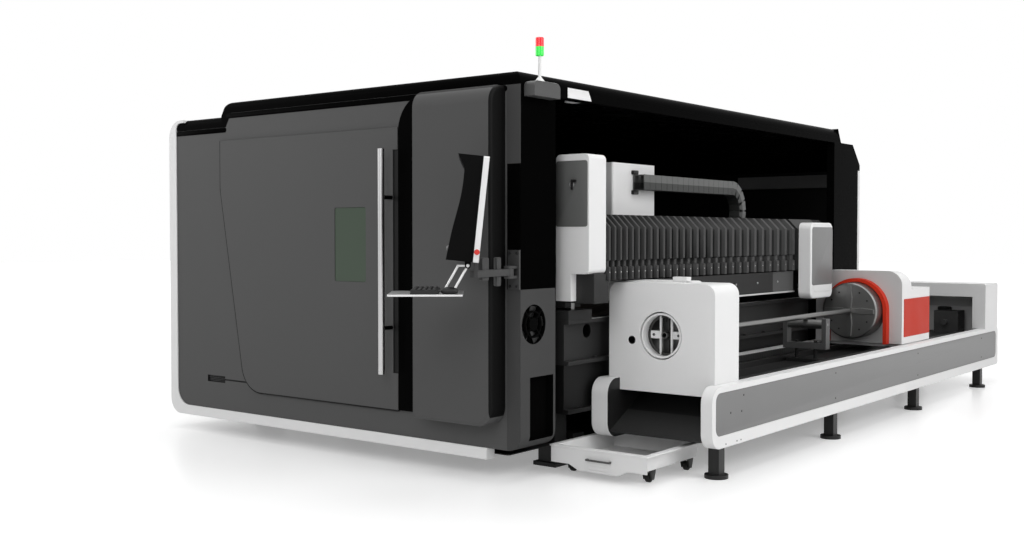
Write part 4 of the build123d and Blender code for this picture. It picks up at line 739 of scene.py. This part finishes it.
bellows_front = fold_cover("bellows_front_folds", front_low, front_high, front_folds)
fit(bellows_front, bellows_coat, None)
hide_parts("bellows_front")
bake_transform(bellows_front)
bellows_rear = fold_cover("bellows_rear_folds", rear_low, rear_high, rear_folds)
fit(bellows_rear, bellows_coat, None)
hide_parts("bellows_rear")
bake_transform(bellows_rear)
bpy.ops.object.select_all(action="DESELECT")
rivet_seat, rivet_z, rivet_radius = 1578, 1056, 4
bpy.ops.mesh.primitive_uv_sphere_add(segments=10, ring_count=6, radius=rivet_radius / 1000,
                                     location=at(rivet_seat, 0, rivet_z))
rivet = bpy.context.object
rivet.name = "bellows_rivets"
bpy.ops.object.transform_apply(location=True, rotation=True, scale=True)
cut_off(rivet, (rivet_seat + 0.5, 0, 0), (1, 0, 0))
starts = fold_starts(front_low, front_high, front_folds)
rivet = set_out(rivet, [(0, (start + end) / 2, 0) for start, end in zip(starts, starts[1:])])
rivet_steel = brushed_steel("rivet_steel", "#b0b0b0", 0.3, 2)
fit(rivet, rivet_steel, None)
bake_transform(rivet)


# Guard under the bellows: a black folded sheet along the foot of the beam, grey at its far end.
# Six bright screws hold it, and a rail of ground steel runs along its lower edge.
guard_grey = ("#484848", None, (2640, 3000), None)
guard_run, guard_foot = (1100, 2962), 872
guard = start_block("beam_guard", (1548, 1556), guard_run, (guard_foot, 1007))
sink_face(guard, (1, 0, 0), 10, 2)
soft_edges(guard, 1)
fit(guard, powder_coat("black_guard_coat", "#0e0e0e", 0.45, 4, 0.2, guard_grey), "gantry")
guard_rail = start_block("beam_guard_rail", (1544, 1566), guard_run, (guard_foot - 12, guard_foot))
round_corners(guard_rail, 1, 3, 2)
fit(guard_rail, brushed_steel("ground_guard_steel", "#d6d6d6", 0.4, 1), "gantry")
guard_screw = start_bar("beam_guard_screws", 0, 7, (1180, 940), (1554, 1559), 12)
soft_edges(guard_screw, 1)
screw_pitch = 306
guard_screw = set_out(guard_screw, [(0, screw_pitch * number, 0) for number in range(6)])
fit(guard_screw, rivet_steel, "gantry")


# Cutting head: a dark carriage on the beam, and a white sheet cover that rises and sinks with the head.
# A grey panel is let into the cover above a white sill, and a turned brass nozzle hangs below.
head_lid = start_block("head_cover_lid", (1676, 1682), (2990, 3344), (908, 1312))
round_corners(head_lid, 0, 24)
soft_edges(head_lid, 1)
fit(head_lid, powder_coat("head_lid_grey_coat", "#7c7c7c", 0.42, 4, 0.3), "head_z")
head_sill = start_block("head_cover_sill", (1677, 1680.5), (3022, 3303), (862, 920))
round_corners(head_sill, 0, 21)
fit(head_sill, white_coat, "head_z")
dress(brushed_steel("turned_nozzle_brass", "#b08d57", 0.25, 2), "cutting_nozzle")


# Drag chains: moulded black links that carry hoses and cables, clamped to the cable box at one end.
# One lies over the gantry round a bend, and one stands on edge along the tube bed.
# A link is two side plates and two bars; its inner half is painted darker as shade.
def chain_run(name, width, height, pitch, plastic, inner_half, moves):
    """Links modelled once, lying along y about zero, and set out along a run of moves."""
    wall, half_width, half_height = 6, width / 2, height / 2
    half_plate, half_bar = pitch * 0.485, pitch * 0.3
    plate = start_block(name, (half_width - wall, half_width), (-half_plate, half_plate),
                        (-half_height, half_height))
    round_corners(plate, 0, 4, 2)
    soft_edges(plate, 1, 1)
    plate = set_out(plate, ((0, 0, 0), (wall - width, 0, 0)))
    bar = start_block("bar", (wall - half_width, half_width - wall), (-half_bar, half_bar),
                      (half_height - wall, half_height))
    bar = set_out(bar, ((0, 0, 0), (0, 0, wall - height)))
    link = join(name, plate, bar)
    select_faces(link, lambda centre, facing: abs(centre.x) > half_width - wall - 1)
    bpy.ops.mesh.bisect(plane_co=zero, plane_no=(0, 0, 1))
    bpy.ops.object.mode_set(mode="OBJECT")
    lower = [face.center.z < 0 for face in link.data.polygons]
    link = set_out(link, moves)
    fit(link, plastic, None)
    link.data.materials.append(inner_half)
    link.data.polygons.foreach_set("material_index", [int(low) for low in lower] * len(moves))
    return link


chain_plastic = powder_coat("moulded_chain_plastic", "#5a5b5a", 0.4, 3, 0.3)
painted_chain_shade = powder_coat("chain_inner_painted_shade", "#303130", 0.45, 3, 0.25)
# The chain along the tube bed is in a darker plastic than the gantry's.
bed_chain_plastic = powder_coat("darker_bed_chain_plastic", "#232323", 0.5, 3, 0.15)
chain_x, chain_start, chain_pitch = 1294, 1340, 67
upper_links, loop_links, lower_links = 17, 8, 3
loop_y, loop_z, loop_radius = chain_start + upper_links * chain_pitch, 1422, 150
chain_spots = []
for step in range(upper_links):
    chain_spots.append((chain_start + (step + 0.5) * chain_pitch, loop_z + loop_radius, 0))
for step in range(loop_links):
    turn = 180 * (step + 0.5) / loop_links
    chain_spots.append((loop_y + loop_radius * math.sin(math.radians(turn)),
                        loop_z + loop_radius * math.cos(math.radians(turn)), turn))
for step in range(lower_links):
    chain_spots.append((loop_y - (step + 0.5) * chain_pitch, loop_z - loop_radius, 180))
chain_moves = []
for y, z, turn in chain_spots:
    spot = Matrix.Translation(at(chain_x, y, z)) @ Matrix.Rotation(math.radians(-turn), 4, "X")
    chain_moves.append(spot @ Matrix.Translation(-zero))
chain = chain_run("gantry_chain_links", 78, 92, chain_pitch, chain_plastic, painted_chain_shade, chain_moves)
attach(chain, "gantry")
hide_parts("drag_chain")
bed_pitch = 34
bed_moves = [(1562, 1100 + bed_pitch * step, 449) for step in range(66)]
bed_chain = chain_run("tube_bed_chain_links", 28, 62, bed_pitch, bed_chain_plastic, frame_paint, bed_moves)
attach(bed_chain, "machine")


# Tube bed: two long white beams with grey sheets let into their outer faces, held by small black screws.
# Between them lies a dark deck with rails and a toothed rack, and a scrap chute opens at the near end.
# The beams stand on black levelling feet.
low_screws = [("#3a3a3a", (2164, 2166), (y - 5, y + 5), (168, 176)) for y in (792, 916, 962)]
dress(powder_coat("white_beam_coat", sprayed_white, 0.4, 5, 0.35, *low_screws), "tube_bed_right")
beam_inside = ("#1c1c1c", (1533, 1537), None, None)
dress(powder_coat("white_inner_beam_coat", sprayed_white, 0.4, 5, 0.35, beam_inside), "tube_bed_left")
inset_grey = powder_coat("inset_grey_coat", "#7c7c7c", 0.45, 4, 0.3)
for name, x in (("tube_bed_inset_right", (2161, 2164)), ("tube_bed_inset_left", (1431, 1434))):
    sheet = start_block(name, x, (681, 5719), (221, 442))
    round_corners(sheet, 0, 44)
    soft_edges(sheet, 1)
    fit(sheet, inset_grey, "machine")
screw_spots = ((846, 328), (971, 323), (994, 406), (2240, 406), (3747, 406), (5307, 406), (2240, 250),
               (3747, 250), (5307, 250))
first_y, first_z = screw_spots[0]
screw = start_bar("inset_screws", 0, 6, (first_y, first_z), (2162, 2165), 12)
soft_edges(screw, 0.8)
screw = set_out(screw, [(0, y - first_y, z - first_z) for y, z in screw_spots])
fit(screw, frame_paint, "machine")
deck_paint = powder_coat("deck_paint", "#171717", 0.5, 5, 0.2)
dress(deck_paint, "tube_bed_deck")
# The scrap chute's near part is painted near black as the shade in its mouth.
chute_painted_shade = ("#0c0c0c", None, (840, 1100), None)
dress(powder_coat("chute_paint", "#2c2c2c", 0.5, 5, 0.2, chute_painted_shade), "scrap_chute")
deck_steel = brushed_steel("oiled_rail_steel", "#4a4a4a", 0.35, 1)
dress(deck_steel, "tube_rails")
dress(frame_paint, "tube_bed_feet")
tooth = start_block("rack_teeth", (2029, 2051), (1160, 1172), (442, 448))
narrow_top(tooth, (1, 0.4, 1))
tooth_pitch, tooth_count = 20, 209
tooth = set_out(tooth, [(0, tooth_pitch * step, 0) for step in range(tooth_count)])
fit(tooth, deck_steel, "machine")


# Front chuck: a white housing with a bolted cap, and inside it a turned steel ring in a white collar.
# Its four hardened jaws run between guide bars and pads, all held by socket screws.
axis_x, axis_z = 1790, 716
# The hole in the housing's face is painted black as the shade inside it.
hole_painted_shade = ("#050505", 1612, (759, 822), 685, 22.5)
dress(powder_coat("white_housing_coat", sprayed_white, 0.4, 5, 0.35, hole_painted_shade), "front_chuck_housing")
cap_clamp = start_block("cap_clamp", (1806, 1896), (858, 905), (1006, 1030))
round_corners(cap_clamp, 2, 5)
soft_edges(cap_clamp, 2)
fit(cap_clamp, white_coat, "machine")
cap_bolt = start_bar("cap_bolts", 1, 8, (1384, 930), (842, 850), 6)
soft_edges(cap_bolt, 1)
cap_bolt_pitch = 32
cap_bolt = set_out(cap_bolt, ((0, 0, 0), (0, 0, cap_bolt_pitch)))
fit(cap_bolt, frame_paint, "machine")
chuck_steel = brushed_steel("turned_chuck_steel", "#7a7a79", 0.38, 1)
# The ring takes a darker copy of the chuck steel, as painted shade from the housing round it.
dress(brushed_steel("chuck_steel_in_painted_shade", "#4e4e4d", 0.4, 1), "front_chuck")
collar = start_bar("chuck_collar", 1, 122, (axis_x, axis_z), (766, 820), 72)
open_through(collar, 1, 11)
soft_edges(collar, 1.5)
fit(collar, white_coat, "front_spindle")
for name, x, z, finish in (("chuck_side_pads", (1684, 1750), (695, 737), white_coat),
                           ("chuck_upright_pads", (1771, 1809), (741, 810), frame_paint)):
    pad = start_block(name, x, (823, 832), z)
    sink_face(pad, (0, -1, 0), 6, -2)
    soft_edges(pad, 1.5)
    pad = set_out(pad, turned("Y", (axis_x, 830, axis_z), (0, 180)))
    fit(pad, finish, "front_spindle")
guide = start_block("chuck_guide_bars", (1750, 1762), (819, 831), (611, 821))
soft_edges(guide, 1.5)
guide_pitch = 68
guide = set_out(guide, ((0, 0, 0), (guide_pitch, 0, 0)))
fit(guide, white_coat, "front_spindle")
jaw_screw = start_bar("chuck_jaw_screws", 1, 7, (axis_x, axis_z + 76), (818, 823), 16)
sink_face(jaw_screw, (0, -1, 0), 3, 3)
jaw_screw = set_out(jaw_screw, turned("Y", (axis_x, 830, axis_z), range(0, 360, 90)))
fit(jaw_screw, frame_paint, "front_spindle")
ring_screw = start_bar("chuck_ring_screws", 1, 6, (axis_x, axis_z + 112), (815, 820), 16)
sink_face(ring_screw, (0, -1, 0), 2.5, 3)
ring_screw = set_out(ring_screw, turned("Y", (axis_x, 820, axis_z), range(22, 360, 45)))
fit(ring_screw, frame_paint, "front_spindle")


# Tube support: a black foot with two guide posts bolted to the deck, and a grey yoke that lowers on them.
# In the yoke turns a steel roller, under the drawn steel tube that the chucks hold.
dress(deck_paint, "support_base")
dress(powder_coat("yoke_grey_coat", "#484848", 0.42, 4, 0.3), "support_lift")
dress(brushed_steel("drawn_tube_steel", "#848483", 0.35, 1), "workpiece_tube", "support_roller")


# Rear chuck: a white carriage with its front face painted grey as shade, a red guard arch and side panels.
# It slides on the deck's rails, and on its front turns a steel disc with tapered jaws and eight socket
# screws.
carriage_front_painted_shade = ("#b8b8b8", None, (3500, 3562), None)
dress(powder_coat("carriage_coat", sprayed_white, 0.42, 5, 0.35, carriage_front_painted_shade), "rear_chuck_housing")
dress(gloss_enamel("red_enamel", "#be3321", 0.4, 0.05), "rear_red_trim")
dress(chuck_steel, "rear_chuck_disc")
disc_screw = start_bar("rear_disc_screws", 1, 6, (axis_x, axis_z + 150), (3388, 3393), 16)
sink_face(disc_screw, (0, -1, 0), 2.5, 3)
screw_angles = [angle for angle in range(0, 360, 30) if angle % 90]
disc_screw = set_out(disc_screw, turned("Y", (axis_x, 3390, axis_z), screw_angles))
fit(disc_screw, frame_paint, "rear_spindle")


# End gate of the tube bed: a white folded portal, closed behind by a grey sheet below seven hanging rubber
# flaps where a tube goes out. On the sheet sits the dark drive box, and in front of it a black finned motor
# with a round flange, bolted on.
# The gate's front face is painted grey, and its inside a darker grey, both as shade.
gate_front_painted_shade = ("#bcbcbc", None, (5390, 5402), None)
gate_inside_painted_shade = ("#a0a0a0", (1534, 2061), (5403, 5758), (400, 741))
dress(powder_coat("gate_coat", sprayed_white, 0.4, 5, 0.35, gate_front_painted_shade, gate_inside_painted_shade), "end_gate")
gate_back = start_block("gate_back_sheet", (1536, 2059), (5744, 5756), (384, 638))
sink_face(gate_back, (0, -1, 0), 14, 4)
soft_edges(gate_back, 1.5)
fit(gate_back, powder_coat("gate_back_coat", "#c4c4c4", 0.45, 4, 0.3), "machine")
flap_pitch, flap_gap = 74.6, 0.4
flap = start_block("gate_flaps", (1537, 1537 + flap_pitch - flap_gap), (5748, 5752), (634, 740.5))
round_corners(flap, 1, 3, 2)
flap = set_out(flap, [(flap_pitch * strip, 0, 0) for strip in range(7)])
fit(flap, powder_coat("flap_rubber", "#a8a8a8", 0.6, 3, 0.1), "machine")
drive_box = start_block("gate_drive_box", (1682, 1786), (5690, 5743), (540, 634))
round_corners(drive_box, 1, 10)
sink_face(drive_box, (0, -1, 0), 8, 4)
soft_edges(drive_box, 2)
fit(drive_box, powder_coat("drive_box_coat", "#202020", 0.45, 4, 0.2), "machine")
motor_paint = powder_coat("motor_paint", "#2a2a2a", 0.45, 4, 0.3)
dress(motor_paint, "end_motor")
fin = start_block("motor_fins", (1711, 1717.5), (5500, 5650), (440, 446))
soft_edges(fin, 1, 1)
fin_pitch, far_side = 18, 206.5
fin = set_out(fin, [(side, 0, fin_pitch * row) for side in (0, far_side) for row in range(9)])
fit(fin, motor_paint, "machine")


# Scrap trolley: a white folded tray with a rolled rim. A slot plate and a grey bow handle are screwed to its
# front, and it runs on four small rubber-tyred casters in black forks with pressed cheeks.
forks = ("#1c1c1c", None, (330, 1000), (0, 65.5))
dress(powder_coat("tray_coat", "#e6e6e6", 0.42, 5, 0.35, forks), "scrap_tray")
rim = start_block("tray_rim", (1379, 1983), (314, 923), (146, 153.5))
round_corners(rim, 2, 10)
open_through(rim, 2, 9)
soft_edges(rim, 1.5)
fit(rim, white_coat, "trolley")
slot_plate = start_block("tray_slot_plate", (1621.5, 1740.5), (322.5, 325.5), (48.5, 65.5))
round_corners(slot_plate, 1, 8)
fit(slot_plate, white_coat, "trolley")
caster_x, caster_y = (1449, 1913), (442, 829)
cheek = start_block("caster_cheeks", (1467, 1475), (412, 472), (14, 66))
select_edges(cheek, lambda a, b: max(a.z, b.z) < 20)
bpy.ops.transform.resize(value=(1, 0.45, 1))
bpy.ops.object.mode_set(mode="OBJECT")
soft_edges(cheek, 2)
cheek = set_out(cheek, [(x - caster_x[0] + side, y - caster_y[0], 0)
                        for x in caster_x for y in caster_y for side in (0, -44)])
fit(cheek, frame_paint, "trolley")
tyre = powder_coat("caster_rubber", "#1c1c1c", 0.6, 3, 0.2)
dress(tyre, "tray_wheel_1", "tray_wheel_2", "tray_wheel_3", "tray_wheel_4")
grip = start_block("grip_bar", (1615, 1765), (302, 310), (94, 104))
grip_post = start_block("grip_post", (1615, 1627), (308, 322), (94, 104))
post_pitch = 138
grip_post = set_out(grip_post, ((0, 0, 0), (post_pitch, 0, 0)))
grip = join("tray_handle", grip, grip_post)
soft_edges(grip, 2)
fit(grip, powder_coat("handle_grey_coat", "#4c4c4c", 0.4, 3, 0.35), "trolley")
